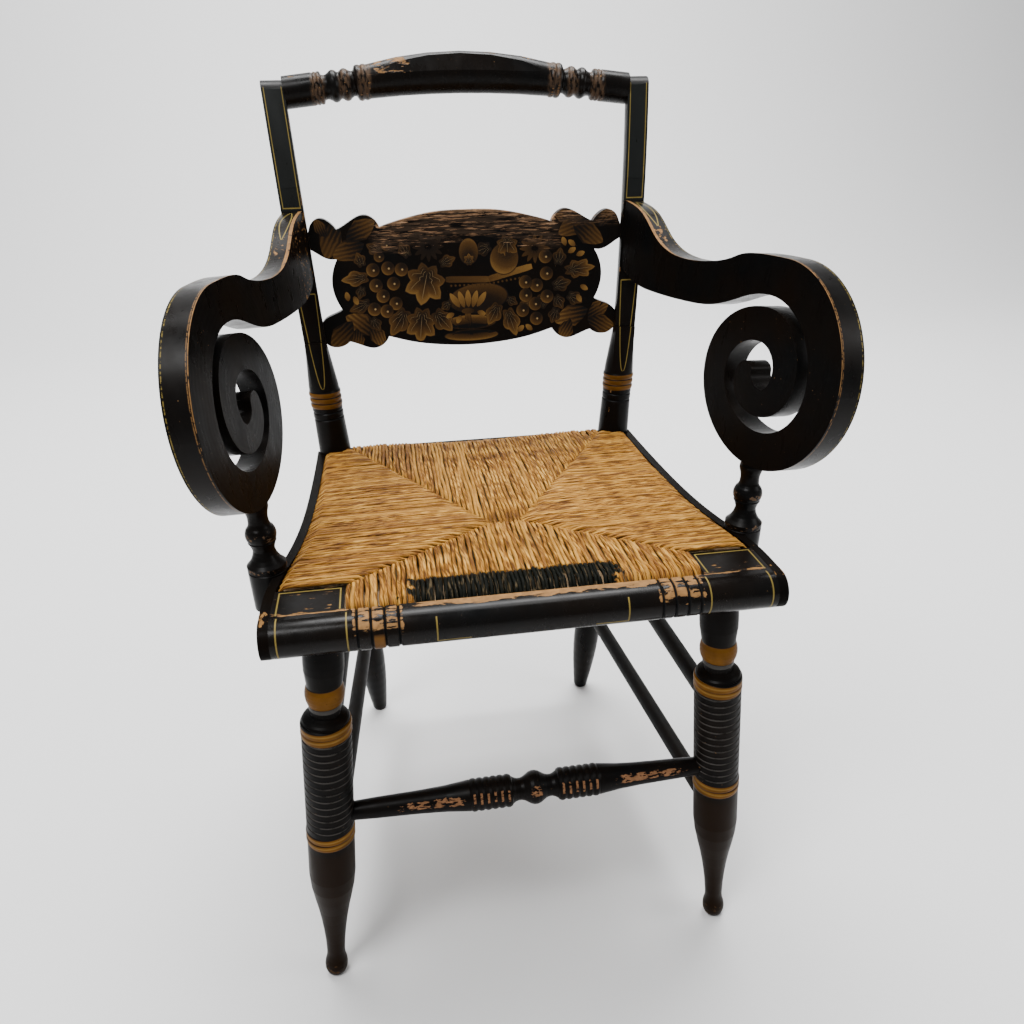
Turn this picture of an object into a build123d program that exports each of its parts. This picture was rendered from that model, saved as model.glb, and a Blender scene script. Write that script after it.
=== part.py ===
"""A turned and painted fancy armchair with a rush seat, a scroll-ended back slat and volute arms.

Millimetres. +Z is up, the chair faces -Y, and the origin is on the floor under its middle.
Every piece is made once, on the +X side where it has a twin, and its twin is its mirror image.
"""

from build123d import *
import math
import os

# ---------------------------------------------------------------- driving sizes
# Seat frame
seat_height = 445.0  # floor to the top of the wooden seat frame
frame_depth = 33.0  # height of the seat frame's edge
seat_front_half = 220.0  # half width over the side strips, at the front
seat_back_half = 192.5  # the same at the back posts
front_joint_y = -207.5  # joint between the corner blocks and the front roll
block_length = 38.5  # corner block, front to back
block_width = 58.5  # corner block, side to side
strip_thickness = 8.5  # side strips
rear_strip_thickness = 6.0
rear_strip_drop = 2.0  # its top edge below the rest of the seat frame
roll_flat = 7.0  # flat top of the front roll, before its rounded nose
flare_in = 13.0  # how far the seat's edge has come in at the middle of its flare
flare_start = 20.0  # straight part of the edge, behind the corner block's front
rail_width = 26.0  # hidden side rails
end_rail_width = 27.0  # hidden front and rear rails
rush_wrap = 4.5  # thickness of the twisted rush round a rail
rush_crown = 3.5  # rush above the wooden frame
ring_pitch = 11.1  # rings cut in the front roll
ring_first = 109.6  # first ring from the middle
ring_count = 4
ring_depth = 1.6

# Back posts
post_inset = 20.5  # post centre at seat height, inside the seat's back corner
post_y = 159.0
post_rise = 397.0  # seat to the top of the posts
post_foot_x = 155.5
post_foot_y = 231.0
post_splay = 3.4  # degrees outwards above the seat
post_neck_rise = 83.0  # seat to the top of the turned part, where the backward bend begins
post_bend_radius = 1150.0
post_radius = 18.6  # at the seat
post_neck_radius = 17.0  # under the shaved part
post_runout = 50.0  # height over which the round neck becomes the shaved part
post_half_width = 11.7  # shaved part, seen from the front
post_front = 12.0  # shaved face in front of the post's centre line
post_hollow = 2.5  # the face is shaved deeper than that between the seat and the arms
post_back = 13.0
post_foot_radius = 10.6
post_top_roll = 12.0  # the shaved face rolls back at the top

# Front legs
leg_inset = 45.5  # leg centre under the seat, inside the seat's widest line
leg_splay = 32.0  # how far the foot stands outside that
leg_y = -193.7
leg_radius = 22.2
leg_groove_count = 14
leg_groove_pitch = 7.75
leg_groove_depth = 1.1
leg_tenon_radius = 9.0
leg_foot_radius = 11.5  # ball at its foot
sole_cut = 1.5  # turned length below the floor, sawn off level

# Stretchers
front_stretcher_height = 216.0
front_stretcher_radius = 14.4  # at its rings
front_stretcher_shift = 5.0  # its ornament is off centre
lower_stretcher_height = 150.0
upper_stretcher_height = 283.0
rear_stretcher_height = 200.0
dowel_radius = 9.0
dowel_end_radius = 8.0
socket_depth = 14.0  # how far a stretcher enters its leg

# Crest rail and slat
crest_drop = 12.0  # centre of its turned ends, below the top of the posts
crest_rise = 6.2  # degrees that the turned ends climb towards the middle
crest_turning = 86.0  # length of each turned end
crest_end_radius = 15.8
crest_half_height = 20.1  # of the pillow, at its middle
crest_half_depth = 14.0
crest_arch = 8.0  # the middle above the top of the turned ends
slat_rise = 115.0  # seat to the slat's lower edge
slat_thickness = 10.0
slat_bow = 16.0  # how far the middle of the slat stands behind its ends

# Arms
arm_thickness = 21.0
arm_lean = 4.6  # degrees outwards
arm_inset = 1.5  # its middle plane, inside the post centre
arm_spread = 6.3  # its middle plane at the eye of the scroll, outside the seat's widest line
arm_back_rise = 271.0  # seat to where the arm's top edge meets the post
arm_back_depth = 61.0  # height of the arm's end on the post
arm_saddle = 6.0  # how far its end is let over the post's hollow face, at the top
scroll_reach = 299.0  # post face to the eye of the scroll
scroll_rise = 159.0  # seat to the eye
scroll_drop = 89.0  # eye to the underside of the scroll
arm_post_reach = 289.5  # post face to the arm post
arm_post_lean = 1.7  # degrees outwards
arm_post_bead_radius = 13.4
arm_post_drum_radius = 17.1
arm_post_tenon_radius = 4.5
arm_post_lap = 8.4  # how deep the drum is let into the seat's side
arm_post_hang = 16.0  # its drop, below the seat frame

# Fixings
socket_slack = 1.0  # empty depth behind the end of a tenon or peg
tenon_radius = 6.0
tenon_length = 10.0
peg_radius = 4.0
peg_length = 40.0

# ---------------------------------------------------------------- sizes that follow
frame_bottom = seat_height - frame_depth
rush_top = seat_height + rush_crown
block_back_y = front_joint_y + block_length
block_inner_x = seat_front_half - strip_thickness - block_width
rear_strip_y = post_y + 4.0
seat_depth = post_y - front_joint_y
post_x = seat_back_half - post_inset
leg_top_x = seat_front_half - leg_inset
leg_foot_x = leg_top_x + leg_splay
post_top = seat_height + post_rise
post_bend_start = seat_height + post_neck_rise
slat_bottom = seat_height + slat_rise
arm_back_top = seat_height + arm_back_rise
scroll_height = seat_height + scroll_rise
crest_height = post_top - crest_drop
arm_post_top = scroll_height - scroll_drop
arm_post_foot = frame_bottom - arm_post_hang
splay = math.tan(math.radians(post_splay))
rail_low = frame_bottom + rush_wrap
rail_high = seat_height - rush_wrap
rail_middle = (rail_low + rail_high) / 2
KAPPA = 0.5523  # control length of a quarter ellipse
FAR = 500.0  # past every edge of the chair, for cutting tools and windows


# ---------------------------------------------------------------- shapes that many pieces share
def lathe(start_radius, cuts):
    """A turning on +Z from z=0. Each cut is (kind, length, value):
    "to" is a straight taper that ends on the radius given;
    "fair" is a smooth curve through the radii given, at equal steps;
    "bead" stands proud by the value, "cove" is sunk by it, and both end where they began.
    Every curve is cut in a few narrow flats."""
    edges = [Line((0, 0, 0), (start_radius, 0, 0))]
    radius, z = start_radius, 0.0
    for kind, length, value in cuts:
        start, top = (radius, 0, z), z + length
        if kind == "to":
            radius = value
            edges.append(Line(start, (radius, 0, top)))
        elif kind == "fair":
            step = length / len(value)
            radius = value[-1]
            curve = Spline(start, *[(r, 0, z + step * (i + 1)) for i, r in enumerate(value)])
            flats = len(value) + 2
            edges += Polyline(*[curve @ (k / flats) for k in range(flats + 1)]).edges()
        else:
            bulge = value if kind == "bead" else -value
            flats = 3 if length < 8 else 5
            shares = [k / flats for k in range(flats + 1)]
            points = [(radius + bulge * 4 * t * (1 - t), 0, z + length * t) for t in shares]
            edges += Polyline(*points).edges()
        z = top
    edges.append(Line((radius, 0, z), (0, 0, z)))
    edges.append(Line((0, 0, z), (0, 0, 0)))
    return revolve(make_face(edges), Axis.Z)


def grooves(count, pitch, depth, radius):
    """Cuts for a row of fine V grooves in a cylinder."""
    lip = pitch - 2 * depth
    return [("to", lip, radius), ("to", depth, radius - depth), ("to", depth, radius)] * count


def along(start, end, shape):
    """Moves a shape made on +Z so that it runs from start towards end."""
    start, end = Vector(*start), Vector(*end)
    return Plane(origin=start, z_dir=end - start).location * shape


def distance(start, end):
    return (Vector(*end) - Vector(*start)).length


def peg(start, end, radius):
    """A plain round rod between two points."""
    return along(start, end, Pos(0, 0, distance(start, end) / 2) * Cylinder(radius, distance(start, end)))


def tapered_rod(start, end, radius, end_radius, tenon):
    """A plain stretcher: a straight rod, eased down to round tenons at its ends."""
    ease = 18.0
    straight = distance(start, end) - 2 * tenon - 2 * ease
    cuts = [("to", tenon, end_radius), ("to", ease, radius), ("to", straight, radius)]
    cuts += [("to", ease, end_radius), ("to", tenon, end_radius)]
    return along(start, end, lathe(end_radius, cuts))


def block(low, high):
    """A box between two corners."""
    size = Vector(*high) - Vector(*low)
    return Pos(*((Vector(*low) + Vector(*high)) * 0.5)) * Box(*size)


def quarter(start, end, flat_first):
    """A quarter of an ellipse between two turning points of an outline."""
    (x0, y0), (x1, y1) = start, end
    if flat_first:
        return Bezier(start, (x0 + KAPPA * (x1 - x0), y0), (x1, y1 - KAPPA * (y1 - y0)), end)
    return Bezier(start, (x0, y0 + KAPPA * (y1 - y0)), (x1 - KAPPA * (x1 - x0), y1), end)


def mirrored(part):
    return mirror(part, about=Plane.YZ)


# ---------------------------------------------------------------- places on the legs and posts
def post_axis_x(z):
    """Centre of the right back post, seen from the front."""
    if z < seat_height:
        return post_foot_x + (post_x - post_foot_x) * z / seat_height
    return post_x + splay * (z - seat_height)


def post_axis_y(z):
    """Centre of the back post, seen from the side: straight down to the foot, bent back at the top."""
    if z < seat_height:
        return post_foot_y + (post_y - post_foot_y) * z / seat_height
    rise = max(0.0, z - post_bend_start) / math.cos(math.radians(post_splay))
    return post_y + post_bend_radius - math.sqrt(post_bend_radius**2 - rise**2)


def post_axis(z):
    return (post_axis_x(z), post_axis_y(z), z)


def leg_axis(z):
    """Centre of the right front leg."""
    return (leg_foot_x + (leg_top_x - leg_foot_x) * z / frame_bottom, leg_y, z)


# ---------------------------------------------------------------- back posts
def bend_plane():
    """Where the post's bend begins: x sideways, y to the back, z along the splayed post."""
    return Plane(origin=post_axis(post_bend_start), x_dir=(1, 0, -splay), z_dir=(splay, 0, 1))


def bent(section, start, end):
    """Sweeps a cross section along the post's bend, between two heights over its beginning."""
    hinge = Axis((0, post_bend_radius, 0), (-1, 0, 0))
    low, high = (math.degrees(math.asin(height / post_bend_radius)) for height in (start, end))
    return revolve(section, hinge, high - low).rotate(hinge, low)


def round_section():
    """The neck's circle, as four arcs that match the shaved section's four sides."""
    r = post_neck_radius
    c = r / math.sqrt(2)
    corners = [(-c, -c), (c, -c), (c, c), (-c, c)]
    middles = [(0, -r), (r, 0), (0, r), (-r, 0)]
    return four_arcs(corners, middles)


def shaved_section():
    """Flat in front, nearly flat at the sides and round at the back."""
    w, front, back = post_half_width, post_front, post_back
    corners = [(-w, -front), (w, -front), (w - 1.4, back - 9), (1.4 - w, back - 9)]
    middles = [(0, -front - 0.3), (w, -2), (0, back), (-w, -2)]
    return four_arcs(corners, middles)


def four_arcs(corners, middles):
    """A closed outline of four arcs, each through a middle between two corners."""
    ends = corners[1:] + corners[:1]
    return make_face([ThreePointArc(a, m, b) for a, m, b in zip(corners, middles, ends)])


def back_post_leg(foot, knee):
    """The turned rear leg, from its blunt foot to the seat."""
    length = distance(foot, knee)
    cuts = [("fair", 8 + sole_cut, (9.7, post_foot_radius)), ("fair", 92, (13.2, 15.5, 17.2, 18.2))]
    cuts += [("to", length - sole_cut - 140, 18.2), ("to", 40, post_radius)]
    return along(foot, knee, lathe(7.0, cuts))


def back_post_neck(knee):
    """The round part above the seat, with two scored lines and three beads."""
    height = (post_bend_start - seat_height) / math.cos(math.radians(post_splay))
    r = post_neck_radius + 0.4
    ring = 6.6
    cuts = [("to", height - 5 * ring - 8, r)]
    cuts += [("cove", 3, 0.8), ("to", 5, r), ("cove", 3, 0.8), ("to", 4, r)]
    cuts += [("bead", ring, 1.0)] * 3
    cuts.append(("to", height - sum(cut[1] for cut in cuts), post_neck_radius))
    return along(knee, post_axis(post_bend_start), lathe(post_radius, cuts))


def face_hollow():
    """What is shaved off the face between the run-out and the crest, as a long shallow hollow."""
    low, high = post_runout, (arm_back_top - post_bend_start) + 24
    points = []
    for height, depth in ((low, post_hollow), ((low + high) / 2, post_hollow), (high, 0)):
        bend = post_bend_radius - math.sqrt(post_bend_radius**2 - height**2)
        points.append((0, bend - post_front + depth, height))
    far = [(0, -60, high), (0, -60, low)]
    outline = [ThreePointArc(*points), Polyline(points[-1], *far, points[0])]
    return extrude(make_face(outline), 60, dir=(1, 0, 0), both=True)


def back_post_blank():
    """The whole post before its joints are cut: turned leg, ringed neck, shaved and bent upper part."""
    knee, foot = post_axis(seat_height), post_axis(-sole_cut)
    length = (post_top + 8 - post_bend_start) / math.cos(math.radians(post_splay))
    shaved = bent(shaved_section(), post_runout, length) - face_hollow()
    hinge = Axis((0, post_bend_radius, 0), (-1, 0, 0))
    end = shaved_section().rotate(hinge, math.degrees(math.asin(post_runout / post_bend_radius)))
    run_out = loft([round_section(), end]) - face_hollow()
    upper = bend_plane().location * (shaved + run_out)
    blank = back_post_leg(foot, knee) + Pos(*knee) * Sphere(post_radius) + back_post_neck(knee) + upper
    return blank - top_roll() - below_floor()


def below_floor():
    return block((-FAR, -FAR, -50), (FAR, FAR, 0))


def top_roll():
    """What is cut off the post's top so that its face rolls over to the back."""
    z = post_top - post_top_roll
    y = post_axis_y(z) - post_front
    start, end = (0, y - 2, z - 4), (0, y + 15, post_top)
    edges = [ThreePointArc(start, (0, y + 3.5, z + 7.5), end)]
    back, front, high = y + 70, y - 40, post_top + 40
    outside = [(0, back, post_top - 5), (0, back, high), (0, front, high), (0, front, z - 4)]
    edges += Polyline(end, *outside, start).edges()
    return extrude(make_face(edges), FAR, dir=(1, 0, 0), both=True)


# ---------------------------------------------------------------- front legs
def front_leg():
    """A turned leg: ball foot, taper, grooved drum between gilt rings, domed shoulder, neck,
    gilt collar and bulb."""
    foot, top = leg_axis(-sole_cut), leg_axis(frame_bottom)
    length = distance(foot, top)
    r = leg_radius
    ball = leg_foot_radius
    cuts = [("fair", 22 + sole_cut, (ball - 1.3, ball, ball - 0.3, ball - 1.6)), ("fair", 11, (9.2, 9.1))]
    cuts += [("fair", 112, (10.3, 12.6, 15.9, 19.9, r)), ("to", 45, r)]
    cuts += [("bead", 7.5, 0.8), ("bead", 7.5, 0.8)]
    cuts += grooves(leg_groove_count, leg_groove_pitch, leg_groove_depth, r)
    cuts += [("bead", 7, 0.5), ("bead", 7, 0.5), ("to", 1, r - 1.6), ("to", 1, r - 0.9)]
    cuts += [("fair", 6, (20.3, 17.4, 12.9)), ("to", 6, 12.9), ("to", 1, 14.4), ("to", 4.5, 14.8)]
    cuts += [("to", 1, 15.4), ("bead", 18.5, 1.9)]
    cuts += [("fair", 16, (16.4, 17.4)), ("fair", 29.5, (17.5, 16.4))]
    used = sum(cut[1] for cut in cuts)
    cuts += [("to", length - used + 6, 16.0)]
    turning = along(foot, top, lathe(3.0, cuts))
    turning -= block((-FAR, -FAR, frame_bottom), (FAR, FAR, FAR))
    return turning + leg_tenon(0) - below_floor()


def leg_tenon(clearance):
    """The round tenon on top of the leg, or its socket."""
    start, end = leg_axis(frame_bottom - 6), leg_axis(frame_bottom + frame_depth * 0.7 + clearance)
    return peg(start, end, leg_tenon_radius)


# ---------------------------------------------------------------- seat frame
def side_curve(inset):
    """The seat's flared edge, from the front to behind the back posts."""
    points = [
        (seat_front_half - inset, front_joint_y - roll_flat),
        (seat_front_half - inset, front_joint_y + flare_start),
        (seat_front_half - inset - flare_in, front_joint_y + seat_depth * 0.28),
        (seat_back_half - inset + 2, front_joint_y + seat_depth * 0.65),
        (seat_back_half - inset, post_y + 30),
    ]
    flare = Spline(*points[1:], tangents=[(0, 1), (0, 1)])
    return [Line(points[0], points[1]), flare]


def seat_plan(inset, front_y, back_y):
    """The area inside the seat's edge, on both sides of the middle."""
    edges = side_curve(inset)
    far_front, far_back = edges[0] @ 0, edges[-1] @ 1
    edges += Polyline(far_front, (0, far_front.Y), (0, far_back.Y), far_back).edges()
    half = make_face(edges)
    window = Pos(0, (front_y + back_y) / 2) * Rectangle(2 * FAR, back_y - front_y)
    return (half + mirror(half, about=Plane.YZ)) & window


def right_side():
    """Everything on the +X side, seen from above."""
    return Pos(FAR, 0) * Rectangle(2 * FAR, 2 * FAR)


def slab(plan, low, high):
    """A flat area given thickness between two heights."""
    return Pos(0, 0, low) * extrude(plan, high - low)


def edge_section():
    """The seat edge seen from the side, with the rounded nose at the front."""
    nose = frame_depth / 2
    middle, front = frame_bottom + nose, front_joint_y - roll_flat
    back = post_y + 60
    edges = [
        Line((0, back, frame_bottom), (0, front, frame_bottom)),
        ThreePointArc((0, front, frame_bottom), (0, front - nose, middle), (0, front, seat_height)),
        Line((0, front, seat_height), (0, back, seat_height)),
        Line((0, back, seat_height), (0, back, frame_bottom)),
    ]
    return extrude(make_face(edges), FAR, dir=(1, 0, 0), both=True)


def side_strip(post):
    """A thin bent strip that covers the rush along one side and ends the front roll."""
    nose = frame_depth / 2
    outer = seat_plan(0, front_joint_y - roll_flat, post_y)
    inner = seat_plan(strip_thickness, front_joint_y - roll_flat, post_y)
    front = front_joint_y - roll_flat - nose / 2
    ends = Pos(seat_front_half - strip_thickness / 2, front) * Rectangle(strip_thickness, nose)
    ring = (outer - inner) & right_side()
    strip = slab(ring, frame_bottom, seat_height) + slab(ends, frame_bottom, seat_height)
    return (strip & edge_section()) - post


def front_roll():
    """The half-round rail along the front, with rings cut near each end."""
    half = seat_front_half - strip_thickness
    nose = frame_depth / 2
    bar = block((-half, front_joint_y - roll_flat - nose, frame_bottom), (half, front_joint_y, seat_height))
    roll = bar & edge_section()
    centre = (front_joint_y - roll_flat, frame_bottom + nose)
    for index in range(ring_count):
        x = ring_first + index * ring_pitch
        notch = ring_cutter(nose, centre, x)
        roll = roll - notch - mirrored(notch)
    return roll


def ring_cutter(nose, centre, x):
    """A V-shaped ring round the roll's nose, and straight back over its flat top and bottom."""
    outside = nose + 4
    depth = ring_depth
    wedge = [(nose - depth, 0), (outside, depth + 4), (outside, -depth - 4)]
    wedge_3d = [(x + across, centre[0], centre[1] + radius) for radius, across in wedge]
    face = make_face(Polyline(*wedge_3d, close=True))
    ring = revolve(face, Axis((x, centre[0], centre[1]), (1, 0, 0)), 180)
    above = extrude(face, roll_flat, dir=(0, 1, 0))
    below = mirror(above, about=Plane(origin=(0, 0, centre[1]), z_dir=(0, 0, 1)))
    return ring + above + below


def corner_plan():
    plan = seat_plan(strip_thickness, front_joint_y, block_back_y)
    return plan & (Pos(block_inner_x, 0) * right_side())


def corner_block():
    """The solid corner over a front leg, which takes the leg's tenon and two rails' tenons."""
    block_blank = slab(corner_plan(), frame_bottom, seat_height)
    block_blank -= leg_tenon(socket_slack)
    block_blank -= front_rail_tenons(socket_slack)
    return block_blank - side_rail_tenons(socket_slack)[0]


def side_rail_plan():
    """The side rail from above: its outer edge follows the seat, its inner edge is straight."""
    outer = seat_plan(strip_thickness + rush_wrap, block_back_y, post_y - 8)
    front_inner = seat_front_half - strip_thickness - rush_wrap - rail_width
    back_inner = seat_back_half - strip_thickness - rush_wrap - rail_width
    inside = make_face(Polyline(
        (0, block_back_y), (front_inner, block_back_y), (back_inner, post_y), (0, post_y), close=True))
    return (outer & right_side()) - inside


def side_rail_tenons(extra):
    """Round tenons of the side rail, in the corner block and in the back post."""
    front_x = seat_front_half - strip_thickness - rush_wrap - rail_width / 2
    back_x = seat_back_half - strip_thickness - rush_wrap - rail_width / 2
    height = rail_high - tenon_radius - 1.5
    tip_y = block_back_y - tenon_length - extra
    front = peg((front_x, block_back_y + 2, height), (front_x, tip_y, height), tenon_radius)
    back = peg((back_x, post_y - 30, height), (back_x, post_y - 6 + extra, height), tenon_radius)
    return front, back


def side_rail(post):
    """A hidden rail that the rush is woven on."""
    rail = slab(side_rail_plan(), rail_low, rail_high) - post
    front, back = side_rail_tenons(0)
    return rail + front + back


def front_rail():
    """The hidden front rail, between the corner blocks."""
    low_y = front_joint_y + rush_wrap
    bar = block((-block_inner_x, low_y, rail_low), (block_inner_x, low_y + end_rail_width, rail_high))
    return bar + front_rail_tenons(0)


def front_rail_tenons(extra):
    y = front_joint_y + rush_wrap + end_rail_width / 2
    reach = block_inner_x + tenon_length - 1 + extra
    return peg((-reach, y, rail_middle), (reach, y, rail_middle), tenon_radius)


def rear_rail(posts):
    """The hidden rear rail, between the back posts."""
    high_y = rear_strip_y - rush_wrap
    bar = block((-post_x, high_y - end_rail_width, rail_low), (post_x, high_y, rail_high))
    rail = slab(side_rail_plan(), rail_low, rail_high)
    return (bar - posts - rail - mirrored(rail)) + rear_rail_tenons(0)


def rear_rail_tenons(extra):
    """Below the side rails' tenons, so that both fit in one post."""
    y = rear_strip_y - rush_wrap - end_rail_width / 2
    height = rail_low + tenon_radius - 0.5
    reach = post_x - post_radius + tenon_length + extra
    return peg((-reach, y, height), (reach, y, height), tenon_radius - 1)


def rear_strip(posts):
    """The thin strip that covers the rush between the back posts."""
    low_y, high_y = rear_strip_y, rear_strip_y + rear_strip_thickness
    return block((-post_x, low_y, frame_bottom), (post_x, high_y, seat_height - rear_strip_drop)) - posts


def stuffing():
    """The pad between the two layers of rush, inside the rails."""
    front = front_joint_y + rush_wrap + end_rail_width
    back = rear_strip_y - rush_wrap - end_rail_width
    rails = side_rail_plan()
    side = seat_front_half - strip_thickness - rush_wrap - rail_width
    back_side = seat_back_half - strip_thickness - rush_wrap - rail_width
    run = (front - block_back_y) / (post_y - block_back_y)
    back_run = (back - block_back_y) / (post_y - block_back_y)
    near = side + (back_side - side) * run
    far = side + (back_side - side) * back_run
    plan = make_face(Polyline((-near, front), (near, front), (far, back), (-far, back), close=True))
    blocks = corner_plan()
    return slab(plan - rails - blocks - mirror(blocks, about=Plane.YZ), rail_low + 3, rail_high - 3)


def rush_envelope():
    """The woven seat's outer shape, before what it is woven round is taken out."""
    corner = corner_plan()
    plan = seat_plan(strip_thickness, front_joint_y, rear_strip_y) - corner - mirror(corner, about=Plane.YZ)
    return slab(plan, frame_bottom, rush_top)


# ---------------------------------------------------------------- stretchers
def front_stretcher():
    """Two slow tapers, six rings a side, and a ball between coves; the ornament is off centre."""
    y, z = leg_y, front_stretcher_height
    r = front_stretcher_radius
    centre = front_stretcher_shift
    ball, cove, ring = 8.0, 14.0, 6.6
    pieces = along((centre - ball, y, z), (centre + ball, y, z), lathe(r - 1.5, [("bead", 2 * ball, 3.1)]))
    for side in (-1, 1):
        reach = (leg_axis(z)[0] - leg_radius + socket_depth) * side
        start, end = (centre + ball * side, y, z), (reach, y, z)
        taper = distance(start, end) - cove - 6 * ring - socket_depth - 2
        cuts = [("cove", cove, 2.6), ("to", 1, r)] + [("bead", ring, 1.2)] * 6
        cuts += [("to", 1, r + 0.2), ("fair", taper, (11.3, 10.1, 8.8)), ("to", socket_depth, 8.6)]
        pieces += along(start, end, lathe(r - 1.5, cuts))
    return pieces


def side_stretcher(height):
    front, back = Vector(*leg_axis(height)), Vector(*post_axis(height + 3))
    run = (back - front).normalized()
    start = front + run * (leg_radius - socket_depth)
    end = back - run * (16.0 - socket_depth * 0.8)
    return tapered_rod(tuple(start), tuple(end), dowel_radius, dowel_end_radius, socket_depth)


def rear_stretcher():
    x, y, z = post_axis(rear_stretcher_height)
    reach = x - 17.0 + socket_depth * 0.8
    return tapered_rod((-reach, y, z), (reach, y, z), dowel_radius, dowel_end_radius, socket_depth)


# ---------------------------------------------------------------- back
def crest_rail():
    """A turned rail with ringed bulbs at its ends and an arched, flattened pillow in the middle."""
    end_x = post_axis_x(crest_height) - post_half_width
    y = post_axis_y(crest_height)
    rise = math.tan(math.radians(crest_rise))
    outer = Vector(end_x, y, crest_height)
    inner_x = end_x - crest_turning
    inner = Vector(inner_x, y, crest_height + rise * crest_turning)
    r = crest_end_radius
    cuts = [("bead", 6, 1.0), ("bead", 6, 1.0)]
    cuts += [("to", 2, 12.4), ("cove", 3, 0.4), ("to", 2, 13.4)]
    cuts += [("bead", 9, 2.2), ("cove", 3, 0.7), ("bead", 9, 2.2), ("to", 2, 12.2), ("cove", 5, 0.5)]
    cuts += [("to", 1, r - 0.8), ("bead", 4, 0.9), ("bead", 4, 0.9), ("to", 2, r)]
    used = sum(cut[1] for cut in cuts)
    slant = (outer - inner).length
    cuts += [("to", slant - used + 1, r)]
    turning = along(tuple(inner), tuple(outer), lathe(16.3, cuts))
    tip = (end_x + tenon_length, y, crest_height)
    tenon = peg(tuple(inner + (outer - inner) * 0.9), tip, tenon_radius + 1)
    sections = []
    for share in [k / 3 for k in range(-3, 4)]:
        half_height = crest_half_height + (16.3 - crest_half_height) * share**2
        half_depth = crest_half_depth + (16.3 - crest_half_depth) * share**2
        centre = (inner_x * share, y, inner.Z + crest_arch * (1 - share**2))
        slope = -2 * crest_arch * share / inner_x if abs(share) < 1 else -math.copysign(rise, share)
        place = Plane(origin=centre, x_dir=(0, 1, 0), z_dir=(1, 0, slope))
        sections.append(place * Ellipse(half_depth, half_height))
    pillow = loft(sections, ruled=True)
    crease = inner.Z + crest_arch + 1.5
    facet = Plane(origin=(0, y - crest_half_depth, crease), x_dir=(1, 0, 0), z_dir=(0, -1, 0.45))
    pillow -= facet.location * Pos(0, 0, 20) * Box(2.4 * inner_x, 80, 40)
    return pillow + turning + mirrored(turning), tenon


def slat_outline():
    """Right half of the turtle-backed slat with its four scrolled corners. Heights count from
    its lower edge; x is drawn for posts at 172 mm and stretches with them."""
    stretch = post_x / 172.0
    edge = (post_axis_x(slat_bottom + 80) + 2) / stretch  # just inside the post

    def curve(*points, **ends):
        return Spline(*[(x * stretch, z) for x, z in points], **ends)

    def straight(*points):
        return Line(*[(x * stretch, z) for x, z in points])

    arch = curve((0, 150), (40, 148.3), (74, 141.6), (98, 134.8), tangents=[(1, 0), (0.94, -0.34)])
    bump = curve((98, 134.8), (104, 144), (113, 148.3), (126, 144.8), (145.5, 134.5))
    tip = curve((145.5, 134.5), (153, 143), (163, 146.8), (172, 141.5), (176, 132), (edge, 124))
    under = curve((edge, 118), (174, 114.5), (163.5, 107.5), (147, 104))
    side = curve((147, 104), (153.5, 90), (155.3, 76), (152.3, 60.5), (146.6, 48.5))
    lower = curve((146.6, 48.5), (158, 43.5), (168, 38.5), (172, 34), (edge, 32))
    toe = curve((edge, 24), (172, 16.5), (164.5, 9.5), (154, 7.5), (142, 12.8))
    lobe = curve((142, 12.8), (130, 8.2), (112, 3.6), (103.5, 7.2), (96.8, 15.6))
    sag = curve((96.8, 15.6), (70, 7.6), (34, 1.8), (0, 0), tangents=[(-0.95, -0.3), (-1, 0)])
    ends = [straight((edge, 124), (edge, 118)), straight((edge, 32), (edge, 24))]
    middle = Line((0, 0), (0, 150))
    half = make_face([arch, bump, tip, under, side, lower, toe, lobe, sag, *ends, middle])
    return Pos(0, slat_bottom) * half


def back_slat():
    """The broad stencilled slat, steam-bent backwards, tenoned into both posts."""
    half = slat_outline()
    outline = half + mirror(half, about=Plane.YZ)
    front = Plane(origin=(0, 0, 0), x_dir=(1, 0, 0), z_dir=(0, -1, 0))
    blank = extrude(front * outline, FAR, both=True)
    low, high = slat_bottom + 10, slat_bottom + 140
    reach = post_axis_x(high) + 10
    near = post_axis_y(slat_bottom) + 1.0
    far = near + slat_thickness
    bend = [
        ThreePointArc((-reach, near), (0, near + slat_bow), (reach, near)),
        Line((reach, near), (reach, far)),
        ThreePointArc((reach, far), (0, far + slat_bow), (-reach, far)),
        Line((-reach, far), (-reach, near)),
    ]
    lean = math.degrees(math.atan2(post_axis_y(high) - post_axis_y(low), high - low))
    sheet = Rot(-lean, 0, 0) * extrude(make_face(bend), FAR, both=True)
    return blank & (Pos(0, 0, slat_bottom + 5) * sheet)


# ---------------------------------------------------------------- arms
def arm_plane():
    """Middle plane of the right arm: toed out to the seat's widest line, and leaning outwards."""
    back_x = post_axis_x(scroll_height) - arm_inset
    sine = (seat_front_half + arm_spread - back_x) / scroll_reach
    lean = math.tan(math.radians(arm_lean))
    forward = Vector(sine, -math.sqrt(1 - sine**2), 0)
    sideways = forward.cross(Vector(lean, 0, 1))
    return Plane(origin=(back_x, post_y, scroll_height), x_dir=forward, z_dir=sideways)


def arm_point(reach, height):
    """A point on the arm's middle plane, from its distance to the post and its height."""
    return tuple(arm_plane().from_local_coords((reach, height - scroll_height, 0)))


def scroll(turns, first_flat):
    """Quarter ellipses through the turning points of a volute, given from its eye."""
    points = [(scroll_reach + x, y) for x, y in turns]
    edges, flat = [], first_flat
    for start, end in zip(points, points[1:]):
        edges.append(quarter(start, end, flat))
        flat = not flat
    return edges, points[0]


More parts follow.
